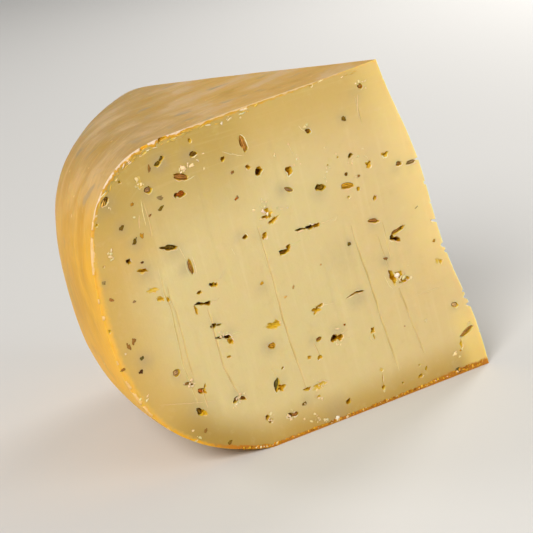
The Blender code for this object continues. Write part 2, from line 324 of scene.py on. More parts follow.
def makePaste():
    look = pasteLook
    fixed = {"Specular IOR Level": 0.35, "IOR": 1.45}
    made, shader, w = newMaterial("paste", fixed, (0.85, (1.0, 0.62, 0.22), 1.6))
    place = millimetres(w)
    depth = w.attribute("rindDepth")
    along = w.attribute("rindAlong")
    tip = w.attribute("tipDistance")
    shade = w.attribute("seedShade")
    height = w.node("ShaderNodeSeparateXYZ", {}, {0: place}, "Z")
    broad = w.noiseAt(place, 22)
    mottle = w.noiseAt(place, 3.2, 3.0, 0.6)
    drag = w.noiseAt(w.stretch(place, (1.0, 1.0, 0.05)), 2.2)
    wobble = w.noiseAt(place, 1.7, 2.0, 0.6)
    arcs = w.node("ShaderNodeCombineXYZ", {}, {"X": along * 0.045, "Y": depth + along * 0.05, "Z": 0.0})
    arcs = w.noiseAt(arcs, 1.3, 2.0, 0.6) * depth.ease(30, 12) * along.ease(135, 110)
    # darker and more golden toward the rind; the darker rim colour low down the side is painted shade
    rim = lay(look["rimTop"], look, (along.ease(60, 78), "rimCorner"), (along.ease(116, 134), "rimSide"),
              (along.ease(180, 200), "rimLowShade"), (along.ease(206, 230), "rimBase"))
    reach = 25 + along.ease(60, 78) * 10 - along.ease(128, 146) * 14 - along.ease(182, 205) * 8
    near = (depth + (broad - 0.5) * 5).ease(reach, 1.0)
    warmth = (broad.ease(0.35, 0.72) * 0.25 + tip.ease(46, 10) * 0.55).clip()
    colour = near.over(warmth.over(look["heart"], look["warm"]), rim)
    # the coloured band just inside the rind, widest down the side, is a painted glow of light coming in
    # through the rind
    low = along.ease(118, 145) * along.ease(200, 168)
    edge = depth + (wobble - 0.5) * 1.4 + (broad - 0.5) * 2
    fade = 0.35 * along.ease(206, 192)
    come = w.noiseAt(place, 5, 2.0, 0.6).ease(0.36, 0.58)
    line = (depth + (wobble - 0.5) * 1.0).ease(0.95, 0.5) * along.ease(34, 52) * (0.2 + come * 0.8)
    thick = 1.0 + tip.ease(34, 6) * 0.9
    crust = ((depth + (wobble - 0.5) * 1.2) / thick).ease(1.25, 0.8) * along.ease(198, 212)
    colour = lay(
        colour, look,
        (drag.ease(0.56, 0.74) * depth.ease(4, 18) * 0.12, "pale"),
        (mottle.ease(0.52, 0.8) * 0.12, "pale"),
        (mottle.ease(0.46, 0.25) * 0.1, "gold"),
        (arcs.ease(0.52, 0.75) * 0.1, "pale"),
        ((shade * (0.35 + wobble * 0.85)).clip(), "shade"),
        # painted glow of light shining through the thin tip, brighter toward its top
        (tip.ease(14, 1) * (0.1 + height.ease(26, 48) * 0.28), "tip"),
        # painted light: the rounded corner low by the tip, painted yellower as if it caught the light
        (tip.ease(10, 4) * height.ease(24, 14) * 0.7, "litFacet"),
        # painted glow of light coming in through the rind
        (edge.ease(1.0 + low * 1.9, 0.2 + low * 0.7) * (fade + low * 0.5), "edge"),
        (line * (1 - low * 0.5), "line"),
        (crust, "base"),
    )
    relief = mottle * 0.5 + drag * 0.3 + w.noiseAt(place, 0.7) * 0.25 + arcs * 0.15
    finishMaterial(w, shader, colour, 0.4 + mottle * 0.16, relief, 0.1)
    return made


# eye wall colours from the cut down into the depth; the darker ones are painted shade
hollowShading = {
    "lit": (0.72, 0.54, 0.18), "golden": (0.68, 0.43, 0.028), "brown": (0.53, 0.26, 0.003),
    "dark": (0.12, 0.04, 0.001),
}


def makeHollow():
    # the walls of the eyes: golden near the cut, with painted shade turning them brown and then near black in
    # the depth
    made, shader, w = newMaterial("eye_wall", {"Specular IOR Level": 0.07}, (0.35, (1.0, 0.5, 0.1), 0.7))
    place = millimetres(w)
    deep = w.attribute("eyeDepth")
    mottle = w.noiseAt(place, 0.9, 2.0, 0.6)
    level = deep + (mottle - 0.5) * 0.7
    colour = lay(hollowShading["lit"], hollowShading, (level.ease(0.0, 0.4), "golden"),
                 (level.ease(0.4, 1.3), "brown"), (level.ease(1.25, 2.1), "dark"))
    finishMaterial(w, shader, colour, 0.26 + mottle * 0.2, mottle, 0.12)
    return made


def makeScoreFinish():
    made, shader, w = newMaterial("knife_score", {}, (0.6, (1.0, 0.62, 0.22), 1.0))
    place = millimetres(w)
    grain = w.noiseAt(w.stretch(place, (1.0, 1.0, 0.2)), 1.4)
    colour = grain.ease(0.35, 0.65).over((0.6, 0.43, 0.15), (0.72, 0.54, 0.22))
    finishMaterial(w, shader, colour, 0.42, grain, 0.04)
    return made


# under, the colour low on the side, is the rind's own orange lightened by a painted highlight
rindLook = {
    "top": (0.59, 0.342, 0.078), "shoulder": (0.475, 0.295, 0.098), "side": (0.655, 0.322, 0.008),
    "under": (0.92, 0.455, 0.01), "bottom": (0.66, 0.34, 0.01), "beige": (0.61, 0.405, 0.19),
    "light": (0.86, 0.47, 0.03), "gold": (0.48, 0.27, 0.04), "smudge": (0.34, 0.26, 0.155),
    "speck": (0.86, 0.6, 0.24), "glow": (0.94, 0.5, 0.03),
}


def makeRind():
    look = rindLook
    fixed = {"Specular IOR Level": 0.26, "Coat Roughness": 0.28, "Coat Weight": 0.07}
    made, shader, w = newMaterial("rind", fixed, (0.4, (1.0, 0.5, 0.15), 1.2))
    place = millimetres(w)
    along = w.attribute("rindAlong")
    around = w.attribute("rindAround")
    walk = w.node("ShaderNodeCombineXYZ", {}, {"X": along, "Y": around, "Z": 0.0})
    bend = w.noiseAt(place, 34) * 16
    slanted = w.node("ShaderNodeCombineXYZ", {},
                     {"X": along * 0.14, "Y": around + along * 0.25 + bend, "Z": 0.0})
    streaks = w.noiseAt(slanted, 3.6, 3.0, 0.55, 0.3)
    brush = w.noiseAt(slanted, 0.9, 2.0, 0.5, 0.2)
    patches = w.noiseAt(w.stretch(walk, (0.7, 1.0, 1.0)), 15, 4.0, 0.6, 0.4)
    blots = w.noiseAt(w.stretch(walk, (0.6, 1.0, 1.0)), 5.5, 2.0, 0.5, 0.3)
    pores = w.noiseAt(place, 0.8, 2.0, 0.6)
    top = along.ease(142, 98)
    glow = w.attribute("eyeDepth").ease(9, 0.5) * along.ease(112, 146) * along.ease(212, 188)
    specks = w.node("ShaderNodeTexVoronoi", {},
                    {"Vector": walk, "Scale": 1 / 7, "Randomness": 1.0}, "Distance")
    colour = lay(
        look["top"], look,
        (along.ease(62, 96), "shoulder"),
        (along.ease(100, 136), "side"),
        # the lower side's own orange, lightened by a painted highlight
        (along.ease(148, 172), "under"),
        (along.ease(182, 204), "bottom"),
        (patches.ease(0.46, 0.62) * top * 0.85, "beige"),
        (patches.ease(0.48, 0.68) * (1 - top) * 0.5, "light"),
        (patches.ease(0.47, 0.33) * (0.35 + top * 0.35), "gold"),
        (streaks.ease(0.52, 0.74) * top * 0.25, "beige"),
        (streaks.ease(0.5, 0.72) * (1 - top) * 0.3, "light"),
        (streaks.ease(0.46, 0.26) * 0.28, "gold"),
        (brush.ease(0.54, 0.72) * (0.12 + top * 0.13), "speck"),
        (brush.ease(0.44, 0.28) * 0.15, "smudge"),
        (glow * 0.6, "glow"),
        (blots.ease(0.6, 0.74) * (0.2 + top * 0.5), "smudge"),
        ((specks + (pores - 0.5) * 0.1).ease(0.075, 0.045) * (0.9 - top * 0.5), "speck"),
    )
    roughness = 0.38 + streaks * 0.16 + pores * 0.08
    relief = streaks * 0.5 + brush * 0.3 + pores * 0.2 + specks.ease(0.09, 0.03) * 0.4
    finishMaterial(w, shader, colour, roughness, relief, 0.12)
    return made


def makeLipFinish():
    made, shader, w = newMaterial("rind_lip", {"Specular IOR Level": 0.4})
    grain = w.noiseAt(millimetres(w), 1.3, 3.0, 0.6)
    tone = w.attribute("seedTone", "Color")
    colour = (grain.ease(0.55, 0.36) * 0.35).over(tone, (0.7, 0.38, 0.07))
    finishMaterial(w, shader, colour, 0.32 + grain * 0.2, grain, 0.1)
    return made


def makeSeedFinish():
    made, shader, w = newMaterial("cumin", {"Specular IOR Level": 0.08})
    place = millimetres(w)
    tone = w.attribute("seedTone", "Color")
    grain = w.noiseAt(place, 0.45, 3.0, 0.7)
    colour = (grain.ease(0.5, 0.3) * 0.4).over(tone, (0.08, 0.025, 0.001))
    colour = (grain.ease(0.56, 0.72) * 0.4).over(colour, (0.58, 0.34, 0.1))
    finishMaterial(w, shader, colour, 0.55 + grain * 0.25, grain, 0.1)
    return made


def makeCrumbFinish(name, hollow, shine):
    # loose bits: painted shade darkens the finest hollows between them
    made, shader, w = newMaterial(name, {"Specular IOR Level": shine})
    tone = w.attribute("seedTone", "Color")
    grain = w.noiseAt(millimetres(w), 0.5, 2.0, 0.6)
    colour = (grain.ease(0.55, 0.3) * 0.3).over(tone, hollow)
    finishMaterial(w, shader, colour, 0.34, grain, 0.06)
    return made


finishes = {
    "paste": makePaste(), "hollow": makeHollow(), "score": makeScoreFinish(), "rind": makeRind(),
    "lip": makeLipFinish(), "seed": makeSeedFinish(),
    "crumb": makeCrumbFinish("crumb", (0.72, 0.48, 0.14), 0.3),
    "crust": makeCrumbFinish("crust", (0.4, 0.14, 0.004), 0.12),
}
print("materials ready")

# what lies in the shown cut, all in millimetres
# holes: from the wheel's axis, up, length, width, slope in degrees, how deep
shownHoles = (
    (66.1, 82.3, 2.5, 2.6, 0, 2.3), (91.8, 84.3, 1.4, 1.5, 20, 1.8), (109.7, 71.7, 1.7, 1.6, 0, 2.2),
    (57.4, 62.2, 3.4, 0.8, -8, 2.6), (54.3, 61.9, 3.4, 1.5, -5, 4.0), (52.4, 61.6, 2.4, 1.2, 6, 1.6),
    (64.3, 58.0, 3.4, 1.3, -8, 2.2), (62.6, 58.6, 1.4, 2.2, -25, 1.5), (67.5, 69.5, 2.3, 0.9, -20, 1.3),
    (36.8, 77.2, 1.9, 1.3, 10, 2.0), (75.8, 89.2, 1.6, 1.5, 0, 2.0), (92.7, 53.1, 3.8, 0.95, -22, 2.4),
    (90.4, 52.4, 2.2, 1.2, -20, 2.0), (87.9, 56.9, 2.0, 1.4, -30, 2.0), (92.1, 56.2, 1.6, 1.1, -10, 1.4),
    (89.5, 41.8, 2.8, 0.9, -15, 2.4), (87.3, 41.1, 2.8, 1.2, -22, 2.8), (90.5, 45.7, 2.2, 1.5, -10, 2.6),
    (88.9, 45.4, 1.8, 0.7, -10, 1.4), (46.3, 38.1, 3.3, 0.65, 8, 2.2), (43.3, 38.0, 3.0, 0.6, -9, 2.0),
    (54.8, 27.8, 2.6, 2.0, -20, 3.0), (53.0, 27.4, 1.9, 1.8, -20, 1.6), (29.2, 49.4, 1.8, 2.0, 0, 2.4),
    (27.6, 48.4, 2.8, 1.5, -31, 2.6), (26.6, 51.0, 4.6, 1.1, 13, 1.8), (101.1, 24.2, 2.2, 1.8, -60, 2.4),
    (55.2, 8.1, 1.7, 1.6, 0, 1.8), (81.6, 14.0, 1.5, 1.6, 0, 1.8), (98.8, 29.5, 2.8, 1.6, -35, 1.8),
    (73.2, 26.0, 0.9, 0.6, 30, 1.6), (36.2, 6.2, 0.8, 0.7, 0, 1.4), (97.4, 71.2, 4.9, 1.7, -20, 1.9),
    (49.4, 71.8, 1.8, 1.7, 0, 2.2), (76.2, 22.2, 1.6, 4.2, -18, 2.4), (74.7, 66.2, 1.7, 1.3, 0, 1.9),
    (106.4, 93.1, 0.9, 1.0, 0, 0.9), (92.3, 99.9, 3.6, 0.9, 8, 1.2), (44.7, 38.3, 2.2, 0.8, 0, 1.3),
)
# scoops: shallow golden openings, described the same way
shownScoops = (
    (83.9, 97.1, 1.1, 1.6, 0, 0.9), (68.9, 84.5, 1.7, 1.6, 0, 1.1), (56.8, 79.4, 2.2, 2.7, 15, 1.5),
    (31.7, 72.7, 2.0, 2.0, 0, 0.9), (25.7, 73.8, 2.5, 1.7, 25, 0.9), (36.6, 67.1, 1.3, 1.3, 0, 0.8),
    (40.3, 65.9, 1.1, 0.8, 0, 0.6), (32.0, 62.7, 1.2, 2.0, -20, 0.9), (68.9, 64.5, 1.9, 1.9, 0, 1.2),
    (65.3, 67.6, 3.4, 1.4, 20, 1.0), (66.2, 70.2, 2.7, 3.1, 0, 0.9), (104.9, 61.8, 3.4, 1.5, -12, 0.3),
    (103.4, 58.6, 2.6, 1.4, -20, 0.6), (101.4, 57.6, 1.6, 1.4, -40, 0.6), (86.8, 56.5, 1.6, 1.4, 0, 1.0),
    (94.4, 51.7, 0.9, 2.8, 4, 0.9), (86.7, 39.6, 1.5, 2.4, 25, 1.0), (73.2, 38.8, 4.6, 1.9, -18, 0.8),
    (71.6, 39.2, 2.4, 1.8, -15, 0.6), (58.5, 38.2, 2.9, 2.1, 15, 1.1), (57.0, 38.9, 1.8, 1.1, 0, 0.9),
    (75.1, 20.6, 2.4, 2.4, 0, 1.5), (60.9, 24.4, 1.5, 1.4, 25, 1.0), (64.2, 25.6, 1.3, 1.1, 0, 0.7),
    (67.1, 16.9, 2.2, 1.4, -13, 1.0), (63.0, 16.4, 4.6, 2.0, -2, 0.4), (64.2, 13.4, 1.5, 0.9, 0, 0.5),
    (42.9, 7.5, 1.2, 2.2, -10, 1.0), (42.6, 10.0, 0.5, 2.6, -10, 0.5), (31.8, 37.9, 1.9, 5.0, 17, 1.5),
    (28.0, 36.0, 4.2, 1.6, 2, 1.1), (29.6, 38.2, 2.4, 2.6, 0, 0.8), (14.8, 36.8, 1.3, 1.4, 0, 0.5),
    (13.7, 9.7, 1.3, 2.9, -5, 0.45), (29.7, 5.8, 1.9, 1.2, 0, 1.0), (27.4, 7.3, 0.9, 1.5, -20, 0.9),
    (29.4, 9.2, 1.0, 0.6, 0, 0.6), (80.7, 12.6, 1.8, 1.4, -30, 1.0), (88.4, 35.6, 1.6, 0.7, -10, 0.8),
    (97.6, 30.4, 0.8, 1.6, -20, 0.8), (106.2, 67.8, 3.4, 1.3, -20, 1.2), (44.3, 100.2, 1.6, 1.1, 0, 0.6),
    (102.0, 33.0, 2.6, 1.2, -20, 0.9), (99.8, 23.2, 1.4, 2.0, 20, 1.0), (48.0, 71.6, 1.9, 1.7, 0, 1.2),
    (86.0, 99.7, 3.6, 0.7, 2, 0.3), (97.4, 98.2, 3.2, 0.7, 20, 0.3), (42.1, 25.4, 1.6, 1.9, 0, 1.2),
    (42.2, 23.4, 0.6, 1.8, 0, 0.5), (40.9, 78.0, 0.8, 0.7, 0, 0.5), (44.6, 76.9, 0.6, 0.6, 0, 0.4),
    (120.0, 55.6, 0.8, 1.1, 0, 0.5), (116.9, 72.9, 0.6, 0.6, 0, 0.4), (115.6, 84.2, 1.2, 0.9, 30, 0.5),
    (42.3, 12.9, 1.0, 1.3, 0, 0.3), (15.9, 37.4, 1.6, 1.8, 0, 0.25), (101.2, 90.9, 2.2, 3.0, 0, 0.25),
)
# cumin seeds: from the axis, up, length, width, slope, tone, how far the top stands out
shownSeeds = (
    (68.7, 91.2, 4.4, 1.5, -83, "brown", 0.1), (89.0, 88.5, 4.2, 1.6, -23, "brown", 0.05),
    (90.3, 84.1, 2.4, 1.5, -5, "red", 0.0), (92.7, 63.9, 4.4, 1.0, -84, "brown", 0.0),
    (39.9, 69.1, 4.2, 1.4, -12, "gold", 0.05), (34.2, 56.5, 3.4, 1.1, -20, "brown", -0.05),
    (97.2, 71.2, 4.0, 1.2, -20, "olive", -0.45), (58.3, 74.3, 2.6, 0.8, -32, "grey", -0.05),
    (48.3, 88.1, 1.5, 1.0, -45, "dark", -0.2), (17.9, 68.8, 3.4, 0.8, -1, "grey", -0.1),
    (111.7, 89.4, 2.8, 1.2, 42, "dark", 0.0), (74.6, 11.7, 2.2, 1.1, -20, "dark", -0.1),
    (72.9, 11.4, 2.0, 0.9, 5, "brown", 0.0), (10.9, 12.9, 5.2, 1.0, 20, "brown", 0.1),
    (13.1, 22.3, 2.3, 1.2, -30, "pale", -0.05), (98.9, 29.4, 2.0, 1.1, -35, "red", -0.4),
    (64.6, 57.7, 2.0, 0.8, -10, "dark", -0.3), (55.4, 27.8, 1.2, 1.5, -20, "dark", -0.9),
    (93.2, 95.1, 1.4, 0.8, 45, "green", -0.1), (94.6, 94.1, 1.7, 1.0, 10, "olive", -0.1),
    (27.4, 50.9, 3.8, 0.9, 14, "brown", -0.4), (89.6, 22.9, 2.0, 0.9, 37, "olive", -0.05),
    (87.5, 22.6, 2.2, 0.8, -35, "dark", -0.05), (83.9, 93.3, 2.1, 1.2, -1, "olive", 0.0),
    (74.8, 33.4, 2.2, 1.4, -20, "gold", -0.05), (99.2, 88.3, 1.8, 1.6, 0, "grey", 0.0),
    (104.8, 37.3, 1.9, 1.5, 10, "pale", -0.05), (59.9, 29.6, 1.6, 0.8, 10, "brown", -0.1),
    (48.1, 71.4, 2.4, 1.5, -12, "olive", -0.35), (75.9, 22.1, 3.5, 0.9, 72, "green", -0.5),
    (100.9, 24.0, 2.6, 1.1, -62, "olive", -0.5), (16.8, 2.5, 1.7, 0.9, 30, "green", 0.05),
    (28.9, 95.0, 1.4, 1.1, -40, "brown", -0.1), (21.9, 69.7, 1.7, 1.0, -5, "brown", -0.05),
)
# flecks: bits of seed lying level with the cut
shownFlecks = (
    (97.4, 93.7, 1.6, 0.8, 70, "brown"), (96.3, 85.2, 1.5, 1.0, 0, "grey"),
    (96.9, 82.4, 1.7, 0.8, 30, "olive"), (100.4, 81.6, 0.7, 0.4, 30, "brown"),
    (104.6, 86.2, 1.0, 0.6, 40, "gold"), (104.1, 77.2, 1.4, 1.2, 80, "gold"),
    (117.2, 63.6, 1.3, 0.9, -50, "brown"), (111.0, 60.8, 0.8, 0.6, 0, "grey"),
    (73.9, 84.7, 0.8, 0.6, 40, "brown"), (74.5, 77.4, 1.1, 0.6, 25, "red"),
    (39.5, 72.4, 0.9, 0.8, 0, "dark"), (36.3, 87.9, 1.7, 1.4, 40, "olive"),
    (35.7, 70.6, 0.8, 0.7, 0, "brown"), (114.2, 50.4, 1.5, 0.9, 80, "brown"),
    (115.9, 49.5, 2.0, 0.8, -80, "brown"), (113.3, 45.1, 1.2, 0.9, 60, "green"),
    (114.7, 41.7, 1.5, 1.3, 30, "plum"), (119.3, 44.1, 1.0, 0.6, 0, "brown"),
    (102.9, 33.3, 0.9, 0.7, 0, "brown"), (101.2, 32.4, 0.7, 0.6, 0, "olive"),
    (100.8, 18.1, 1.1, 0.7, 60, "brown"), (94.6, 11.8, 1.3, 0.9, 30, "olive"),
    (73.3, 51.9, 1.1, 0.7, 20, "gold"), (43.5, 52.8, 1.0, 0.8, 0, "olive"),
    (64.0, 47.2, 0.9, 0.4, 60, "rust"), (67.2, 45.3, 0.8, 0.6, 0, "rust"), (50.8, 30.5, 0.5, 0.4, 0, "red"),
    (69.2, 13.2, 1.3, 0.8, 20, "olive"), (32.7, 44.3, 1.3, 0.8, -20, "brown"),
    (15.7, 43.6, 0.8, 0.7, 0, "gold"), (109.2, 81.1, 1.3, 1.0, 40, "olive"),
    (106.6, 76.4, 2.2, 1.2, 50, "olive"), (118.0, 68.7, 1.1, 0.9, 0, "grey"),
    (106.0, 70.2, 0.7, 0.5, 0, "plum"), (14.4, 7.9, 0.6, 0.5, 0, "gold"), (31.5, 22.5, 0.4, 0.3, 0, "pale"),
    (19.2, 55.4, 0.9, 0.2, 25, "pale"), (74.3, 77.7, 0.6, 0.5, 0, "grey"),
    (53.9, 50.3, 0.4, 0.4, 0, "rust"),
)
# soft grey-green shade round the seeds that lie just under the cut: place, reach, strength
shownShades = (
    (94.2, 94.2, 4.4, 0.8), (85.5, 93.4, 3.8, 0.65), (111.5, 88.6, 4.4, 0.6), (99.6, 87.6, 3.2, 0.5),
    (109.2, 80.8, 3.2, 0.55), (106.6, 75.6, 3.6, 0.55), (105.9, 67.4, 4.4, 0.65), (94.6, 64.2, 3.2, 0.6),
    (96.4, 69.8, 4.6, 0.5), (60.4, 75.0, 3.4, 0.65), (49.2, 70.5, 4.0, 0.5), (37.0, 88.2, 2.8, 0.45),
    (23.0, 69.0, 3.0, 0.55), (31.0, 94.0, 3.2, 0.4), (75.8, 33.6, 4.0, 0.65), (70.0, 64.8, 3.0, 0.3),
    (59.5, 6.6, 7.0, 0.6), (13.5, 22.0, 2.6, 0.4), (102.0, 24.5, 3.4, 0.5), (53.9, 29.8, 3.6, 0.5),
    (34.5, 55.6, 3.0, 0.4), (112.6, 44.0, 4.0, 0.65), (33.2, 44.0, 3.4, 0.55), (104.8, 36.4, 2.8, 0.35),
    (44.6, 36.6, 4.4, 0.6), (88.6, 24.0, 3.6, 0.45), (17.0, 3.6, 2.8, 0.5), (43.5, 53.0, 2.6, 0.4),
    (73.6, 50.4, 3.2, 0.4), (68.4, 14.0, 3.0, 0.45), (86.2, 42.2, 3.2, 0.35), (90.4, 47.0, 2.6, 0.35),
    (74.4, 88.2, 2.6, 0.3), (62.0, 30.2, 2.4, 0.45), (74.6, 22.0, 3.4, 0.35), (118.0, 68.4, 2.0, 0.35),
    (76.6, 67.0, 2.8, 0.45), (105.6, 70.0, 1.4, 0.5), (29.5, 93.6, 3.6, 0.35), (47.0, 50.0, 8.0, 0.25),
    (57.8, 5.2, 3.0, 0.4), (115.5, 86.4, 3.4, 0.4), (18.5, 67.5, 2.2, 0.4),
)
seedTones = {
    "brown": (0.32, 0.14, 0.028), "red": (0.37, 0.095, 0.005), "dark": (0.15, 0.06, 0.004),
    "olive": (0.16, 0.085, 0.006), "grey": (0.28, 0.17, 0.065), "pale": (0.48, 0.31, 0.12),
    "plum": (0.1, 0.038, 0.012), "gold": (0.48, 0.24, 0.015), "green": (0.14, 0.1, 0.02),
    "rust": (0.56, 0.33, 0.09),
}
# long scores left by the knife, running down the shown cut: (from the axis, up) and width
shownScores = (
    (((101.6, 68), (102.0, 59.5), (101.3, 55.2), (101.8, 44.7), (102.1, 38.9), (101.4, 32.6),
      (100.8, 25.1)), 0.5),
    (((100.7, 64), (100.9, 58.2), (100.1, 53.7), (100.2, 44.3), (100.3, 38.3), (100.1, 32.2)), 0.4),
    (((91.1, 52.4), (90.7, 47.6), (90.8, 39.9), (90.6, 33.2), (89.6, 28.6), (87.8, 23.0)), 0.56),
    (((70.4, 69.4), (69.9, 59.8), (69.6, 47.7), (69.5, 39.9), (69.1, 32.4), (68.1, 24.5),
      (67.4, 15.2)), 0.56),
    (((41.8, 60), (41.4, 54), (40.8, 48.7), (39.4, 37.7), (38.5, 27.3), (37.5, 17.3), (36.3, 8)), 0.56),
    (((34.1, 53), (32.9, 44), (32.3, 40.6)), 0.28), (((31.5, 56), (31.3, 50.2), (30.9, 43.2)), 0.3),
    (((30.7, 35.6), (29.1, 24.9), (26.7, 11.0)), 0.46), (((31.3, 93), (31.0, 84)), 0.28),
    (((61.7, 29), (60.9, 25)), 0.3), (((76.6, 27), (75.8, 24)), 0.3), (((98.5, 30), (98.3, 24)), 0.25),
    (((101.2, 86), (100.9, 80), (101.3, 75.5)), 0.3), (((103.3, 82.9), (104.2, 79.1)), 0.24),
)
# wider, very shallow troughs, described the same way
shownTroughs = (
    (((101.2, 70), (101.4, 58), (100.7, 54), (101.0, 44), (101.2, 38), (100.7, 31), (100.5, 26)), 1.6),
    (((95.6, 50), (95.0, 34), (94.0, 18)), 2.2), (((71.8, 60), (71.4, 44), (70.2, 24)), 2.0),
    (((43.6, 62), (43.0, 48), (40.8, 20)), 1.8), (((28.6, 66), (28.0, 40), (26.2, 16)), 2.4),
    (((60.2, 92), (60.0, 76), (59.8, 64)), 1.8), (((84.0, 92), (83.6, 70), (82.6, 52)), 2.6),
    (((52.0, 56), (51.6, 40), (50.6, 22)), 2.2),
)
# thin raised threads of paste beside some openings
shownThreads = (
    ((62.0, 58.9), (60.3, 59.1), (58.4, 59.2)), ((51.0, 61.6), (48.6, 61.6), (46.4, 61.9)),
    ((56.0, 38.7), (54.0, 38.3), (52.4, 37.9)), ((86.2, 57.4), (84.6, 58.0), (83.2, 59.4)),
    ((89.4, 52.4), (88.0, 52.2), (86.8, 52.6)), ((85.8, 41.2), (84.4, 41.4), (83.2, 41.0)),
    ((94.6, 70.4), (94.0, 68.0), (93.6, 66.4)), ((91.6, 66.6), (91.3, 64.0), (91.5, 61.4)),
    ((93.8, 66.4), (94.0, 64.0), (93.5, 61.4)), ((72.8, 89.8), (71.2, 88.6), (69.4, 88.0)),
    ((52.6, 28.4), (51.4, 28.6), (50.2, 28.9)), ((101.8, 86.6), (102.2, 83.0), (102.3, 79.0)),
    ((88.6, 87.0), (86.4, 87.2), (84.8, 87.6)), ((59.4, 36.6), (58.4, 36.9), (57.2, 37.6)),
    ((112.0, 30.6), (100.0, 26.4), (94.0, 24.6)), ((25.0, 30.0), (20.6, 29.6), (16.4, 29.4)),
    ((41.6, 24.2), (41.9, 23.0), (41.4, 22.4)), ((43.2, 24.4), (43.4, 22.8), (42.4, 22.0)),
    ((34.5, 39.6), (33.6, 36.2), (32.6, 34.8)), ((31.4, 34.4), (30.2, 34.6), (29.0, 35.0)),
    ((75.4, 91.1), (73.2, 89.6), (71.0, 88.9)), ((50.9, 90.6), (50.2, 89.2), (49.3, 88.4)),
    ((55.4, 87.2), (54.8, 84.6), (54.3, 82.5)), ((30.3, 93.1), (31.0, 90.2), (31.7, 87.7)),
    ((32.6, 75.8), (31.8, 75.0), (31.2, 73.8)), ((79.6, 64.6), (79.2, 63.3), (79.0, 62.4)),
    ((50.9, 26.4), (50.0, 26.1), (49.0, 26.3)), ((46.8, 60.8), (46.0, 61.1), (45.4, 61.9)),
)
# single flakes: place, length, width, slope, thickness
shownChunks = (
    (85.2, 90.5, 1.5, 0.7, 10, 0.5), (87.9, 90.6, 1.9, 1.2, -50, 0.6), (101.6, 92.1, 0.7, 1.5, 5, 0.3),
    (100.7, 90.4, 0.9, 0.8, 30, 0.3), (70.2, 72.5, 0.8, 0.7, 0, 0.5), (60.0, 4.9, 1.2, 1.1, 30, 0.7),
    (64.2, 5.9, 0.7, 1.0, 0, 0.5), (56.8, 3.9, 0.9, 0.7, 0, 0.5), (30.3, 38.2, 1.5, 1.2, -30, 0.7),
    (25.8, 35.9, 0.8, 0.8, 0, 0.5), (28.2, 36.8, 1.4, 0.8, 30, 0.5), (70.9, 98.9, 1.6, 0.5, 20, 0.3),
    (67.6, 98.3, 0.6, 0.5, 0, 0.3), (67.6, 71.1, 1.5, 0.7, -50, 0.7), (66.6, 70.0, 1.1, 0.5, 70, 0.7),
    (68.7, 69.3, 0.9, 0.4, -10, 0.5), (66.0, 73.4, 0.6, 0.4, 0, 0.4), (63.0, 70.6, 0.8, 0.4, 40, 0.3),
    (44.4, 81.9, 0.7, 0.5, 0, 0.4), (41.3, 79.1, 0.8, 0.6, -20, 0.4), (32.5, 77.6, 0.7, 0.5, 0, 0.3),
    (34.5, 76.1, 0.8, 0.5, 0, 0.4), (36.6, 70.6, 0.7, 0.6, 0, 0.4), (46.5, 73.8, 0.6, 0.6, 0, 0.4),
    (46.2, 72.6, 0.5, 0.5, 0, 0.4), (28.9, 96.4, 1.0, 0.7, -30, 0.4), (27.3, 94.0, 0.6, 0.4, 0, 0.3),
    (55.2, 86.6, 0.6, 0.5, 0, 0.4), (49.0, 89.6, 1.0, 0.6, -40, 0.5), (107.1, 93.9, 0.8, 0.5, 30, 0.4),
    (115.1, 86.6, 0.7, 0.5, 30, 0.4), (105.0, 82.6, 0.7, 0.6, 0, 0.4), (69.2, 13.1, 0.7, 0.6, 0, 0.4),
    (70.4, 8.9, 0.7, 0.6, 0, 0.4), (88.0, 24.0, 0.8, 0.6, 20, 0.4), (86.6, 23.6, 0.7, 0.5, -20, 0.4),
    (23.8, 21.4, 0.5, 0.5, 0, 0.3), (16.4, 7.6, 1.0, 0.8, 20, 0.5), (15.2, 6.2, 0.8, 0.6, 0, 0.4),
    (53.2, 30.2, 1.6, 0.5, -20, 0.4), (101.0, 33.6, 0.9, 0.7, 20, 0.5), (102.2, 32.2, 0.7, 0.6, 0, 0.5),
    (117.4, 48.0, 0.6, 0.5, 0, 0.3), (113.9, 75.6, 0.8, 0.5, -20, 0.4), (114.3, 73.9, 0.7, 0.5, 20, 0.4),
    (9.6, 15.1, 1.0, 0.5, 20, 0.4),
)
# rougher spots where flakes stand up: place, how far they spread, how many
shownFlakes = (
    (67.2, 72.6, 1.4, 2), (29.6, 37.6, 2.6, 8), (63.4, 16.9, 2.4, 9), (48.7, 89.7, 1.4, 4),
    (88.4, 90.2, 1.2, 3), (86.6, 91.2, 0.8, 2), (102.0, 32.8, 1.4, 7), (88.2, 22.8, 1.8, 8),
    (73.8, 12.2, 1.8, 8), (66.7, 6.8, 1.8, 9), (63.8, 5.8, 0.7, 3), (59.9, 4.4, 0.8, 4),
    (56.4, 3.3, 1.0, 4), (16.4, 7.4, 1.4, 7), (80.9, 13.4, 1.6, 6), (54.0, 25.6, 1.6, 5),
    (28.9, 96.0, 1.2, 4), (90.0, 21.4, 1.2, 4), (89.0, 42.4, 2.2, 6), (100.9, 90.8, 1.0, 5),
    (113.7, 75.1, 1.6, 4), (117.0, 34.0, 2.0, 5), (104.8, 18.0, 2.2, 6), (66.9, 74.2, 0.9, 3),
    (45.6, 75.4, 1.4, 4), (36.8, 75.0, 1.6, 4), (60.2, 84.8, 0.6, 2), (24.0, 21.5, 0.4, 2),
    (64.2, 12.4, 1.2, 5), (70.4, 72.5, 0.5, 2), (72.0, 99.3, 1.6, 3), (110.6, 87.6, 1.6, 3),
    (82.6, 90.4, 2.6, 4), (60.2, 70.4, 2.0, 3), (53.4, 81.0, 3.0, 5),
)
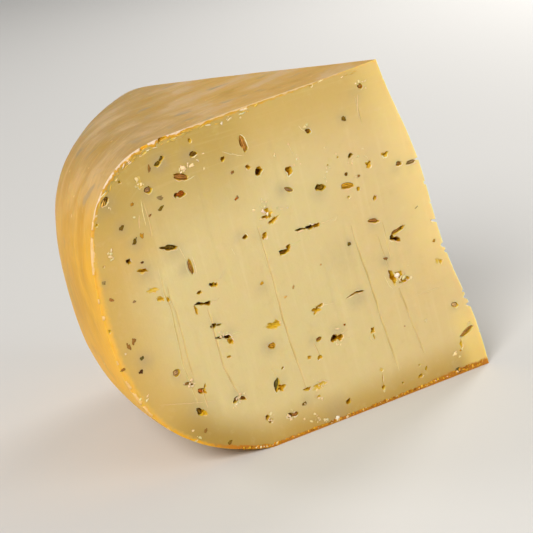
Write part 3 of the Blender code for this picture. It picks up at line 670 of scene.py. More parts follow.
tipNicks = (
    (68.9, 3.2, 0.7), (61.4, 1.6, 1.0), (49.3, 5.0, 1.0), (41.3, 2.8, 1.6), (39.2, 1.8, 1.0),
    (25.2, 1.6, 1.0), (23.3, 2.8, 1.5), (20.4, 3.4, 1.2), (95.0, 0.8, 0.6), (84.0, 0.9, 0.5),
    (55.0, 0.9, 0.6), (33.0, 0.9, 0.6), (11.0, 1.0, 0.7),
)
seedKinds = ("brown", "brown", "dark", "olive", "red", "grey", "gold", "green")
# the far cut's mix: how many, and how each measure is drawn
farMix = {
    "holes": (26, ("uniform", 1.4, 4.5), ("uniform", 0.8, 1.9), ("gauss", 0, 25), ("uniform", 1.3, 2.6)),
    "scoops": (34, ("uniform", 1.2, 4), ("uniform", 1.0, 2.2), ("gauss", 0, 25), ("uniform", 0.6, 1.3)),
    "seeds": (26, ("uniform", 2, 4.6), ("uniform", 0.9, 1.5), ("gauss", 0, 40), ("choice", seedKinds),
              ("uniform", -0.3, 0.1)),
    "flecks": (42, ("uniform", 0.8, 1.8), ("uniform", 0.6, 1.1), ("gauss", 0, 40), ("choice", seedKinds)),
    "chunks": (24, ("uniform", 0.6, 1.4), ("uniform", 0.4, 0.9), ("uniform", -60, 60)), "chunkThick": 0.5,
    "across": (8, 118), "up": (-46, 48), "margin": 4, "spacing": 4.2,
    "scores": ((26, 37, 61, 88, 97), 34, 4, -38, (0.28, 0.44)),
    "troughs": ((20, 33, 52, 75, 93, 104), 40, 6, -40, (1.6, 2.6)),
}


def onShown(r, z, *rest):
    # a mark measured from the wheel's axis and base, as a mark on the shown cut
    return (-r, z - wheel["height"] / 2, *rest)


def scatterCut(cut, draw):
    # the far cut has the same mix of marks in other places
    taken = []

    def place():
        while True:
            across, up = draw.uniform(*farMix["across"]), draw.uniform(*farMix["up"])
            inside = inWheel(onCut(cut, across, up), farMix["margin"])
            if inside and all(math.hypot(across - a, up - b) > farMix["spacing"] for a, b in taken):
                taken.append((across, up))
                return across, up

    def scatter(kind):
        count, *measures = farMix[kind]
        return [(*place(), *(getattr(draw, way)(*span) for way, *span in measures)) for _ in range(count)]

    mix = {"cut": cut, "threads": []}
    for kind in ("holes", "scoops", "seeds", "flecks"):
        mix[kind] = scatter(kind)
    mix["shades"] = [(a, b, draw.uniform(2.4, 4.4), draw.uniform(0.3, 0.65))
                     for a, b, *_ in mix["seeds"][:20]]
    mix["flakes"] = [(a, b, draw.uniform(0.8, 2), draw.randint(3, 9)) for a, b, *_ in mix["holes"][:12]]
    for kind in ("scores", "troughs"):
        starts, top, middle, base, widths = farMix[kind]
        mix[kind] = []
        for start in starts:
            bend = draw.uniform(-2, 2)
            path = [(start, top), (start + bend, middle), (start + bend * 2.2, base)]
            mix[kind].append((path, draw.uniform(*widths)))
    mix["chunks"] = [(*mark, farMix["chunkThick"]) for mark in scatter("chunks")]
    for a, b, length, *_ in mix["holes"][12:22]:
        end = a - length / 2
        path = [(end, b), (end - 1.6, b + draw.uniform(-0.5, 0.5)), (end - 3.2, b + draw.uniform(-1, 1))]
        mix["threads"].append(path)
    return mix


shownMarks = {"cut": shownCut, "threads": [[onShown(*stop) for stop in path] for path in shownThreads]}
for kind, listed in (("holes", shownHoles), ("scoops", shownScoops), ("seeds", shownSeeds),
                     ("flecks", shownFlecks), ("shades", shownShades), ("flakes", shownFlakes),
                     ("chunks", shownChunks)):
    shownMarks[kind] = [onShown(*mark) for mark in listed]
for kind, listed in (("scores", shownScores), ("troughs", shownTroughs)):
    shownMarks[kind] = [([onShown(*stop) for stop in path], width) for path, width in listed]
farMarks = scatterCut(farCut, random.Random(11))
cuts = (shownMarks, farMarks)


# shapes that are cut out or laid in
bulging = {"coarse": 1.3, "fine": 3.4, "fineShare": 0.45, "most": 0.9}


def bulge(way, rough, phase):
    # how far out an uneven ball reaches this way
    coarse = noise.noise(way * bulging["coarse"] + Vector((phase, 3.1 * phase, 0)))
    fine = noise.noise(way * bulging["fine"] + Vector((0, phase, 2 * phase)))
    return 1 + rough * (coarse + bulging["fineShare"] * fine)


def ballFaces(finer):
    # directions and faces of an even ball
    ball = bmesh.new()
    bmesh.ops.create_icosphere(ball, subdivisions=finer, radius=1)
    ways = [vertex.co.normalized() for vertex in ball.verts]
    faces = [[vertex.index for vertex in face.verts] for face in ball.faces]
    ball.free()
    return ways, faces


balls = {finer: ballFaces(finer) for finer in (2, 3, 4)}


def addLump(shape, place, axes, size, slope, rough, phase, finer):
    # an uneven ellipsoid; size is its length, width and depth
    turned = axes @ Matrix.Rotation(math.radians(slope), 3, "Z")
    half = Vector(size) / 2
    ways, faces = balls[finer]
    made = [shape.verts.new(place + turned @ (way * half * bulge(way, rough, phase))) for way in ways]
    for corners in faces:
        shape.faces.new([made[corner] for corner in corners])
    return made


def turnsOf(sides):
    return [math.tau * side / sides for side in range(sides)]


def joinRings(shape, rings):
    # a closed skin over rings of corners
    for lower, upper in zip(rings, rings[1:]):
        for corner in range(len(lower)):
            after = (corner + 1) % len(lower)
            shape.faces.new((lower[corner], lower[after], upper[after], upper[corner]))
    shape.faces.new(rings[0])
    shape.faces.new(rings[-1])


def gatherLumps(lumps):
    # lumps that don't touch share a cutter, so that no cutter crosses itself
    def reach(lump):
        return max(lump["size"]) / 2 * (1 + bulging["most"] * lump["rough"])

    groups = []
    for lump in lumps:
        for group in groups:
            if all((lump["place"] - other["place"]).length > reach(lump) + reach(other) for other in group):
                group.append(lump)
                break
        else:
            groups.append([lump])
    return groups


hollowing = {
    "rough": {"holes": 0.5, "scoops": 0.62, "seeds": 0.35, "nicks": 0.5, "chips": 0.6},
    # how high the middle is set and how thick it is, by the depth, and from what area the facets are finer
    "set": {"holes": (-0.22, 1.56, 2.4), "scoops": (0.1, 2.2, 3)},
    "socket": 0.5,               # how much wider than the seed it is
    "nickDepth": 2.4, "nickSlope": -14,
    "chips": 34, "chipSpan": (30, 285), "chipLength": (0.7, 2.4), "chipSize": (0.25, 0.6),
}


def markPhase(across, up):
    return 0.37 * across + 0.61 * up


def lumpAt(kind, place, cut, size, slope, phase, finer):
    return {"place": place, "axes": cutAxes(cut), "size": size, "slope": slope,
            "rough": hollowing["rough"][kind], "phase": phase, "finer": finer}


def eyeLumps(marks):
    cut, lumps = marks["cut"], []
    for kind, (above, thick, finest) in hollowing["set"].items():
        for across, up, length, width, slope, deep in marks[kind]:
            place, size = onCut(cut, across, up, above * deep), (length, width, thick * deep)
            finer = 4 if length * width > finest else 3
            lumps.append(lumpAt(kind, place, cut, size, slope, markPhase(across, up), finer))
    wider = hollowing["socket"]
    for across, up, length, width, slope, _, proud in marks["seeds"]:
        size = (length + wider, width + wider, width + wider + 1.4 * max(0, -proud))
        place = onCut(cut, across, up, -0.1)
        lumps.append(lumpAt("seeds", place, cut, size, slope, markPhase(across, up), 3))
    return lumps


def nickLumps():
    lumps = []
    for index, (height, length, width) in enumerate(tipNicks):
        place, size = Vector((-tipRadius(height) + 0.2, 0.2, height)), (length, width, hollowing["nickDepth"])
        lumps.append(lumpAt("nicks", place, shownCut, size, hollowing["nickSlope"], index * 1.3 + 7, 3))
    return lumps


def edgePoint(cut, r, z):
    # where the rind's own line at this height meets the cut: how far along the cut and up it
    if cut is shownCut:
        return -r, z - wheel["height"] / 2
    half = tipRadius(z) * math.cos(2 * halfAngle)
    reach = -half + math.sqrt(max(0, half * half + r * r - tipRadius(z) ** 2))
    away = Vector((-tipRadius(z), 0, z)) + farAlong * reach - cut["origin"]
    return away.dot(cut["along"]), away.dot(cut["up"])


# chips broken from the edge of the rind: way over the rind from the middle of the top, length, size
shownChips = (
    (90.4, 3.6, 1.1), (93.0, 2.2, 0.8), (86.9, 1.4, 0.7), (97.2, 2.6, 0.9), (101.6, 2.4, 0.8),
    (105.0, 1.6, 0.6), (65.6, 1.6, 0.8), (53.0, 1.2, 0.6), (44.0, 1.5, 0.8), (77.0, 1.4, 0.5),
    (112.0, 2.0, 0.6), (121.0, 1.4, 0.5),
)


def chipLumps(cut, draw):
    line, walked = rindPoints(wheel["edgeStep"])
    chips = list(shownChips) if cut is shownCut else []
    for _ in range(hollowing["chips"]):
        chips.append([draw.uniform(*hollowing[span]) for span in ("chipSpan", "chipLength", "chipSize")])
    lumps = []
    for walk, length, size in chips:
        spot = int(np.searchsorted(walked, walk))
        if 2 <= spot <= len(line) - 2:
            ahead = Vector(edgePoint(cut, *line[spot + 1])) - Vector(edgePoint(cut, *line[spot - 1]))
            slope = math.degrees(math.atan2(ahead.y, ahead.x))
            place = onRind(onCut(cut, *edgePoint(cut, *line[spot]))) + cut["out"] * 0.05
            lumps.append(lumpAt("chips", place, cut, (length, size * 1.3, size * 1.2), slope, walk, 2))
    return lumps


def alongPath(path, spacing):
    # even steps from the first stop of the path to the last: the way walked, and the place
    stops = np.array(path, float)
    walked = walkedAlong(stops)
    steps = np.linspace(0, walked[-1], max(8, int(walked[-1] / spacing)))
    return list(zip(steps, *(np.interp(steps, walked, part) for part in stops.T)))


scoring = {
    "wander": 0.2, "wanderSize": 5, "step": 1.1, "fade": 6,
    "uneven": 0.6, "unevenSize": 4, "endLift": 0.08, "clear": 0.04,
    # the bar's radius and how deep it bites, both by the width, then its sides and its finish
    "kinds": {"scores": (0.62, 0.25, 10, "score"), "troughs": (3.6, 0.036, 64, "paste")},
}
ridge = {"sides": 6, "end": 0.15, "fade": 5, "uneven": 0.7, "unevenSize": 2.1, "flat": 0.7}


def alongScore(path, spacing):
    # the same with the knife's slight wandering
    size = scoring["wanderSize"]
    return [(step, across + scoring["wander"] * noise.noise(Vector((step / size, path[0][0], 0))), up)
            for step, across, up in alongPath(path, spacing)]


def addScore(shape, cut, path, bar, sides, deep):
    # a round bar along the score, set so that only its lowest part bites into the paste
    look, points, rings = scoring, alongScore(path, scoring["step"]), []
    for step, across, up in points:
        share = step / points[-1][0]
        fade = min(1, look["fade"] * share, look["fade"] * (1 - share))
        uneven = 1 + look["uneven"] * noise.noise(Vector((step / look["unevenSize"], 5, path[0][0])))
        bite = deep * uneven * fade - look["endLift"] * (1 - fade)
        centre = onCut(cut, across, up, bar - look["clear"] - bite)
        ways = [cut["along"] * math.cos(turn) + cut["out"] * math.sin(turn) for turn in turnsOf(sides)]
        rings.append([shape.verts.new(centre + way * bar) for way in ways])
    joinRings(shape, rings)


def addRidge(shape, points, radius, out, phase):
    # a thin uneven thread along the points, fading out at both ends
    rings = []
    for index, point in enumerate(points):
        before, after = points[max(0, index - 1)], points[min(len(points) - 1, index + 1)]
        sideways = (after - before).normalized().cross(out).normalized()
        share = index / (len(points) - 1)
        fade = min(1, ridge["fade"] * share, ridge["fade"] * (1 - share))
        uneven = 1 + ridge["uneven"] * noise.noise(Vector((index / ridge["unevenSize"], phase, 0)))
        reach = radius * (ridge["end"] + (1 - ridge["end"]) * fade) * uneven
        ways = [sideways * math.cos(turn) + out * (ridge["flat"] * math.sin(turn))
                for turn in turnsOf(ridge["sides"])]
        rings.append([shape.verts.new(point + reach * way) for way in ways])
    joinRings(shape, rings)
    return [vertex for ring in rings for vertex in ring]


# the wedge itself
def makeWheelPiece():
    # the wheel's section, spun a little further than the wedge reaches
    line, _ = rindPoints(wheel["rindStep"])
    start, turn = math.radians(wheel["turnFrom"]), math.radians(wheel["turnTo"] - wheel["turnFrom"])
    steps = round(wheel["radius"] * turn / wheel["rindStep"])
    onAxis = 1e-6

    def fromAxis(vertex):
        return math.hypot(vertex.co.x, vertex.co.y)

    def spot(vertex):
        return np.hypot(line[:, 0] - fromAxis(vertex), line[:, 1] - vertex.co.z).argmin()

    shape = bmesh.new()
    first = [shape.verts.new((-r * math.cos(start), r * math.sin(start), z)) for r, z in line]
    edges = [shape.edges.new(pair) for pair in zip(first, first[1:])]
    spun = bmesh.ops.spin(shape, geom=first + edges, cent=(0, 0, 0), axis=(0, 0, 1), angle=-turn, steps=steps)
    last = sorted((item for item in spun["geom_last"] if isinstance(item, bmesh.types.BMVert)), key=spot)
    bmesh.ops.remove_doubles(shape, verts=[v for v in shape.verts if fromAxis(v) < onAxis], dist=1e-5)
    top, base = sorted((v for v in shape.verts if fromAxis(v) < onAxis), key=lambda v: -v.co.z)
    for side in (first, last):
        shape.faces.new([top, *(v for v in side if v.is_valid and fromAxis(v) > onAxis), base])
    for vertex in shape.verts:
        vertex.co = onRind(vertex.co)
    bmesh.ops.recalc_face_normals(shape, faces=shape.faces)
    return shape


def makeKnife(cut):
    shape = bmesh.new()
    (left, right), (low, high) = cut["spread"]
    columns, rows = round((right - left) / cutting["cell"]), round((high - low) / cutting["cell"])
    bmesh.ops.create_grid(shape, x_segments=columns, y_segments=rows, size=0.5)
    for vertex in shape.verts:
        vertex.co.x = (left + right) / 2 + vertex.co.x * (right - left)
        vertex.co.y = (low + high) / 2 + vertex.co.y * (high - low)
    outside = bmesh.ops.extrude_face_region(shape, geom=shape.faces[:])["geom"]
    far = {item for item in outside if isinstance(item, bmesh.types.BMVert)}
    for vertex in shape.verts:
        vertex.co = onCut(cut, vertex.co.x, vertex.co.y, cutting["depth"] if vertex in far else 0)
    return shape


def makeFloorBlock():
    # everything under the floor, in the wheel's own millimetres
    shape, size = bmesh.new(), 400
    bmesh.ops.create_cube(shape, size=size)
    toWheel = wheelPlace.inverted()
    for vertex in shape.verts:
        vertex.co.z -= size / 2
        vertex.co = toWheel @ (vertex.co * mm) / mm
    return shape


def carve(body, cutters):
    for cutter in cutters:
        step = body.modifiers.new(cutter.name, "BOOLEAN")
        step.operation, step.solver, step.object = "DIFFERENCE", "MANIFOLD", cutter
    bpy.context.view_layer.update()
    graph = bpy.context.evaluated_depsgraph_get()
    uncut, carved = body.data, bpy.data.meshes.new_from_object(body.evaluated_get(graph))
    body.modifiers.clear()
    body.data = carved
    bpy.data.meshes.remove(uncut)
    for cutter in cutters:
        bpy.data.objects.remove(cutter, do_unlink=True)


def newCutter(name, shape, finish):
    for face in shape.faces:
        face.material_index = bodyFinishes.index(finishes[finish])
    return newObject(name, shape, bodyFinishes)


def lumpCutters(name, lumps, finish):
    cutters = []
    for number, group in enumerate(gatherLumps(lumps)):
        shape = bmesh.new()
        for lump in group:
            addLump(shape, **lump)
        cutters.append(newCutter(f"{name}{number}", shape, finish))
    return cutters


bodyFinishes = [finishes[name] for name in ("rind", "paste", "hollow", "score")]
body = newObject("cheese_wedge", makeWheelPiece(), bodyFinishes)
knives = [newCutter(f"{cut['name']}Knife", makeKnife(cut), "paste") for cut in (shownCut, farCut)]
carve(body, knives + [newCutter("floorBlock", makeFloorBlock(), "rind")])
print("wedge cut,", len(body.data.polygons), "faces")

scores = []
for marks in cuts:
    for kind, (bar, bite, sides, finish) in scoring["kinds"].items():
        for path, width in marks[kind]:
            shape = bmesh.new()
            addScore(shape, marks["cut"], path, bar * width, sides, bite * width)
            scores.append(newCutter(f"score{len(scores)}", shape, finish))
carve(body, scores)
eyes = []
for marks in cuts:
    eyes += lumpCutters(f"eyes{marks['cut']['name']}", eyeLumps(marks), "hollow")
eyes += lumpCutters("nicks", nickLumps(), "paste")
chipping = random.Random(31)
for cut in (shownCut, farCut):
    eyes += lumpCutters(f"chips{cut['name']}", chipLumps(cut, chipping), "paste")
carve(body, eyes)
print("eyes and scores cut,", len(body.data.polygons), "faces")


painting = {
    "rindStep": 0.7, "batch": 4000, "leastRadius": 30, "baseWalk": 250, "unseen": 99,
    "shadeDepth": 3, "shadeFall": 1.2, "sharp": 48,
}


def paintBody(item):
    # what the finishes need at each point: how deep under the rind, how near the tip, and so on
    mesh = item.data
    count = len(mesh.vertices)
    flat = np.empty(count * 3)
    mesh.vertices.foreach_get("co", flat)
    p = (flat.reshape(-1, 3) - np.array(wheelPlace.translation)) @ np.array(wheelPlace.to_3x3()) / mm
    line, walked = rindPoints(painting["rindStep"])
    r = np.hypot(p[:, 0], p[:, 1])
    depth, along = np.empty(count), np.empty(count)
    for start in range(0, count, painting["batch"]):
        piece = slice(start, start + painting["batch"])
        apart = np.hypot(r[piece, None] - line[None, :, 0], p[piece, 2, None] - line[None, :, 1])
        nearest = apart.argmin(axis=1)
        depth[piece] = apart[np.arange(len(nearest)), nearest]
        along[piece] = walked[nearest]
    # near the floor the cuts end at the base of the rind
    high = p @ np.array(floorUp) + standing["axis"][2]
    along = np.where(high < depth, painting["baseWalk"], along)
    tipLine = np.array([tipRadius(z) for z in p[:, 2]])
    shade, eyeDepth = np.zeros(count), np.full(count, float(painting["unseen"]))
    for marks in cuts:
        cut = marks["cut"]
        away = p - np.array(cut["origin"])
        a, b, c = (away @ np.array(cut[way]) for way in ("along", "up", "out"))
        level = np.array([cut["wander"](x, y) for x, y in zip(a, b)])
        eyeDepth = np.minimum(eyeDepth, np.maximum(level - c, 0))
        near = (level - c) < painting["shadeDepth"]
        for across, up, reach, strength in marks["shades"]:
            left = np.clip(1 - np.hypot(a - across, b - up) / reach, 0, 1)
            shade = np.maximum(shade, near * strength * left ** painting["shadeFall"])
    values = {
        "rindDepth": np.minimum(depth, high), "rindAlong": along,
        "rindAround": np.arctan2(p[:, 1], -p[:, 0]) * np.maximum(r, painting["leastRadius"]),
        "tipDistance": np.hypot(p[:, 0] + tipLine, p[:, 1]), "seedShade": shade, "eyeDepth": eyeDepth,
    }
    for name, value in values.items():
        layer = mesh.attributes.new(name, "FLOAT", "POINT")
        layer.data.foreach_set("value", value.astype(np.float32))


paintBody(body)
body.data.shade_smooth()
body.data.set_sharp_from_angle(angle=math.radians(painting["sharp"]))
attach(body, "root")
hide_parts("gouda_wedge")
print("wedge painted")


# cumin seeds and flecks
seedShape = {
    "rings": 15, "sides": 28, "ribs": 7, "ribDepth": 0.12, "ribTone": 0.42,
    "dent": 0.34, "dentSize": 2.4, "crumple": 0.14, "crumpleSize": (9, 2.5), "mottle": 0.5,
    "blunt": (0.05, 0.12), "lean": 1.15, "swell": 0.62, "flat": 0.85, "bend": 0.12, "sunk": 0.46,
    "fleckProud": 0.14, "fleckThick": 0.7, "fleckSpread": 1.35,
}


def addSeed(shape, tones, colour, place, axes, length, width, slope, bend, phase):
    turned = axes @ Matrix.Rotation(math.radians(slope), 3, "Z")
    look, rings, sides = seedShape, seedShape["rings"], seedShape["sides"]
    end, least = look["blunt"]
    lengthwise, around = look["crumpleSize"]
    made = []
    for ring in range(rings + 1):
        share = ring / rings
        swell = math.sin(math.pi * (end + (1 - 2 * end) * share ** look["lean"]))
        girth = width / 2 * max(least, swell) ** look["swell"]
        sag = bend * (1 - (2 * share - 1) ** 2) * length * look["bend"]
        row = []
        for turn in turnsOf(sides):
            y, z = math.cos(turn), math.sin(turn)
            dent = noise.noise(Vector((share * look["dentSize"], y + phase, z)))
            crumple = noise.noise(Vector((share * lengthwise, around * y, around * z + phase)))
            wave = math.cos(look["ribs"] * turn + share + 1.5 * crumple)
            rib = 1 + look["ribDepth"] * wave + look["dent"] * dent + look["crumple"] * crumple
            local = Vector(((share - 0.5) * length, sag + girth * rib * y, look["flat"] * girth * rib * z))
            row.append(shape.verts.new(place + turned @ local))
            light = 1 + look["ribTone"] * wave + look["mottle"] * dent + look["mottle"] * crumple
            row[-1][tones] = (*(part * light for part in colour), 1)
        made.append(row)
    joinRings(shape, made)


def varied(colour, draw, amount=0.25):
    light = 1 + draw.uniform(-amount, amount)
    return tuple(max(0.002, part * light * (1 + draw.uniform(-0.08, 0.08))) for part in colour)


def newToned():
    # a new mesh with a colour at each corner
    shape = bmesh.new()
    return shape, shape.verts.layers.float_color.new("seedTone")


def colourIn(vertices, tones, colour):
    for vertex in vertices:
        vertex[tones] = (*colour, 1)


def makeSeeds():
    draw = random.Random(23)
    shape, tones = newToned()
    for marks in cuts:
        cut, axes = marks["cut"], cutAxes(marks["cut"])
        for across, up, length, width, slope, tone, proud in marks["seeds"]:
            place = onCut(cut, across, up, proud - seedShape["sunk"] * width)
            addSeed(shape, tones, varied(seedTones[tone], draw), place, axes, length, width, slope,
                    draw.uniform(-0.5, 0.5), across)
        for across, up, length, width, slope, tone in marks["flecks"]:
            thick, spread = seedShape["fleckThick"] * width, seedShape["fleckSpread"]
            place = onCut(cut, across, up, seedShape["fleckProud"] - thick / 2)
            size = (spread * length, spread * width, thick)
            colourIn(addLump(shape, place, axes, size, slope, 0.5, across + up, 3), tones,
                     varied(seedTones[tone], draw))
    return newObject("cumin_seeds", shape, (finishes["seed"],))


seeds = makeSeeds()
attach(seeds, "root")
print("seeds laid in,", len(seeds.data.polygons), "faces")


# paste that the knife raised: rims round the openings, threads and flakes
raised = {
    # rims turn mostly to the lower right edges, where their pale colour is partly a painted highlight
    "bare": 0.15, "rim": (0.11, 0.22), "rimTurn": (-60, 50), "rimSpan": (60, 190), "creamy": 0.6,
    "nearRind": 88, "nearRindSize": 0.6, "margin": 0.45, "rimStep": 0.7,
    "thread": 0.11, "threadStep": 0.4, "threadWave": 0.15, "longThread": 8,
    "burr": 0.075, "burrStep": 0.8, "burrAside": 0.55,
    "flake": (0.3, 0.95), "flakeWidth": (0.35, 0.8), "flakeThick": 0.4, "flakesCreamy": 0.4,
    "torn": ((82, 92, 12), (93, 106, 18), (107, 118, 8), (64, 68, 5), (28, 82, 10)),
    "tornIn": (0.45, 1.8), "tornSize": (0.7, 2.2), "tornWidth": (0.2, 0.42), "tornThick": 0.22,
    "tornTurn": 14, "tornGolden": 0.7,
}
raisedTones = {
    "pale": (0.81, 0.635, 0.32), "cream": (0.87, 0.715, 0.44), "white": (0.88, 0.775, 0.58),
    "faint": (0.76, 0.6, 0.3), "burr": (0.74, 0.57, 0.27), "golden": (0.7, 0.43, 0.06),
}


def within(opening, across, up):
    # whether this place on the cut lies in the opening
    a, b, length, width, slope = opening[:5]
    lie = -math.radians(slope)
    x = (across - a) * math.cos(lie) - (up - b) * math.sin(lie)
    y = (across - a) * math.sin(lie) + (up - b) * math.cos(lie)
    return (x / (0.55 * length)) ** 2 + (y / (0.55 * width)) ** 2 < 1


def rimPoints(cut, opening, openings, start, span):
    # places along the edge of the opening, broken where another opening crosses it
    across, up, length, width, slope, rough, spare = opening
    turned = cutAxes(cut) @ Matrix.Rotation(math.radians(slope), 3, "Z")
    count = max(7, int(span * (length + width) / raised["rimStep"]))
    runs = [[]]
    for index in range(count):
        turn = start + span * (index / (count - 1) - 0.5)
        way = Vector((math.cos(turn), math.sin(turn), 0))
        local = Vector((way.x * (length + spare) / 2, way.y * (width + spare) / 2, 0))
        local *= bulge(way, rough, markPhase(across, up))
        point = onCut(cut, across, up) + turned @ (local + way * 0.05)
        away = point - cut["origin"]
        a, b = away.dot(cut["along"]), away.dot(cut["up"])
        crossed = any(within(other, a, b) for other in openings if other[:2] != (across, up))
        if crossed or not inWheel(point, raised["margin"]):
            runs.append([])
        else:
            runs[-1].append(point)
    return [points for points in runs if len(points) > 4]


def addRims(marks, shape, draw, paint):
    # a thin rim stands round part of most openings, mostly on the lower right; its pale colour is partly the
    # raised paste's own and partly a painted highlight where the light catches that edge
    cut = marks["cut"]
    openings = [(*mark[:5], hollowing["rough"][kind], hollowing["socket"] if kind == "seeds" else 0)
                for kind in ("holes", "scoops", "seeds") for mark in marks[kind]]
    for opening in openings:
        across, up, length, _, slope, *_ = opening
        if draw.random() < raised["bare"]:
            continue
        start = math.radians(draw.gauss(*raised["rimTurn"]) - slope)
        span = math.radians(draw.uniform(*raised["rimSpan"]))
        size = draw.uniform(*raised["rim"]) * min(1, 0.5 + length / 5)
        tone = "cream" if draw.random() < raised["creamy"] else "pale"
        if abs(across) > raised["nearRind"]:
            # finer and duller where the paste is dry
            size, tone = size * raised["nearRindSize"], "faint"
        for points in rimPoints(cut, opening, openings, start, span):
            paint(addRidge(shape, points, size, cut["out"], markPhase(across, up)), tone)


def addStrands(marks, shape, paint):
    # threads of paste, and a burr beside each score
    cut = marks["cut"]
    for number, path in enumerate(marks["threads"]):
        stops = alongPath(path, raised["threadStep"])
        points = [onCut(cut, across, up + raised["threadWave"] * noise.noise(Vector((step, number, 0))))
                  for step, across, up in stops]
        size = raised["thread"] * (1 if stops[-1][0] < raised["longThread"] else 0.5)
        paint(addRidge(shape, points, size, cut["out"], number), "pale")
    for number, (path, width) in enumerate(marks["scores"]):
        points = [onCut(cut, across - raised["burrAside"] * width, up)
                  for _, across, up in alongScore(path, raised["burrStep"])]
        paint(addRidge(shape, points, raised["burr"], cut["out"], number + 40), "burr")


def addFlakes(marks, shape, draw, paint):
    # loose flakes gathered at the rough spots, then the single ones
    cut, axes = marks["cut"], cutAxes(marks["cut"])
    for across, up, spread, count in marks["flakes"]:
        for _ in range(count):
            a, b = draw.gauss(across, spread * 0.5), draw.gauss(up, spread * 0.4)
            length = draw.uniform(*raised["flake"])
            place = onCut(cut, a, b, 0.02)
            if inWheel(place, length / 2):
                width, thick = draw.uniform(*raised["flakeWidth"]), raised["flakeThick"]
                size = (length, length * width, length * thick)
                slope, phase = draw.uniform(0, 180), draw.uniform(0, 50)
                made = addLump(shape, place, axes, size, slope, 1.0, phase, 3)
                paint(made, "cream" if draw.random() < raised["flakesCreamy"] else "pale")
    for across, up, length, width, slope, thick in marks["chunks"]:
        place = onCut(cut, across, up, 0.1 * thick)
        if inWheel(place, width / 2):
            size, phase = (length, width, thick), markPhase(across, up)
            made = addLump(shape, place, axes, size, slope, 0.7, phase, 3)
            paint(made, "white" if thick > 0.6 else "pale" if thick > 0.35 else "faint")


def addTorn(marks, shape, draw, paint):
    # small torn pieces lie along the edge, just inside the rind
    cut, axes = marks["cut"], cutAxes(marks["cut"])
    line, walked = rindPoints(wheel["edgeStep"])
    for begin, end, count in raised["torn"]:
        for _ in range(count):
            spot = int(np.searchsorted(walked, draw.uniform(begin, end)))
            step = line[spot + 1] - line[spot - 1]
            inside = np.array([step[1], -step[0]]) / np.hypot(*step) * draw.uniform(*raised["tornIn"])
            before, here = (Vector(edgePoint(cut, *(line[at] + inside))) for at in (spot - 1, spot))
            length, width = (draw.uniform(*raised[measure]) for measure in ("tornSize", "tornWidth"))
            size = (length, width, raised["tornThick"])
            slope = math.degrees(math.atan2(*(here - before).yx)) + draw.gauss(0, raised["tornTurn"])
            made = addLump(shape, onCut(cut, *here, 0.02), axes, size, slope, 0.7, draw.uniform(0, 50), 2)
            paint(made, "golden" if draw.random() < raised["tornGolden"] else "cream", 0.2)


def makeRaised():
    draw = random.Random(5)
    shape, tones = newToned()

    def paint(vertices, tone, amount=0.1):
        colourIn(vertices, tones, varied(raisedTones[tone], draw, amount))

    for marks in cuts:
        addRims(marks, shape, draw, paint)
        addStrands(marks, shape, paint)
        addFlakes(marks, shape, draw, paint)
        addTorn(marks, shape, draw, paint)
    return newObject("raised_paste", shape, (finishes["crumb"],))


raisedPaste = makeRaised()
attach(raisedPaste, "root")
print("raised paste laid on,", len(raisedPaste.data.polygons), "faces")


# the thin coating stands up a little along the cuts, torn by the knife
# tags and golden spots are the way over the rind, how much is added there and how far it spreads
lip = {
    "step": 0.4, "width": (0.04, 0.5), "proud": 0.18, "wrap": 0.6, "end": 189, "least": 0.02, "gap": 0.16,
    "starts": (34, 44), "ragged": (82, 85, 112, 116), "down": (122, 132), "onTop": (88, 82),
    "tags": ((65.7, 1.7, 0.9), (87.0, 0.5, 1.4), (36.0, 0.3, 1.0), (53.0, 0.5, 0.8), (131.0, 0.5, 3.0),
             (94.2, 1.0, 0.8), (103.0, 0.9, 0.8), (99.0, 0.5, 0.6), (109.5, 0.4, 0.8)),
    "clear": 0.12, "line": (0.2, 0.65),
    "golden": ((91.6, 1.1, 2.0), (88.2, 0.6, 1.0), (98.0, 0.6, 1.2), (62.0, 0.5, 1.6), (56.5, 0.4, 1.0)),
    "walks": (30, 78, 86, 116, 126, 190),     # where the tones of the skin and of its cut edge change
    "skin": ((0.74, 0.5, 0.22), (0.74, 0.51, 0.25), (0.8, 0.62, 0.44), (0.8, 0.62, 0.42),
             (0.84, 0.55, 0.25), (0.82, 0.49, 0.15)),
    "under": ((0.7, 0.44, 0.08), (0.68, 0.37, 0.03), (0.66, 0.32, 0.012), (0.68, 0.34, 0.02),
              (0.88, 0.5, 0.07), (0.8, 0.42, 0.03)),
}


def rise(value, low, high):
    # 0 up to low, 1 from high on, straight between; low may be the larger
    return min(1, max(0, (value - low) / (high - low)))


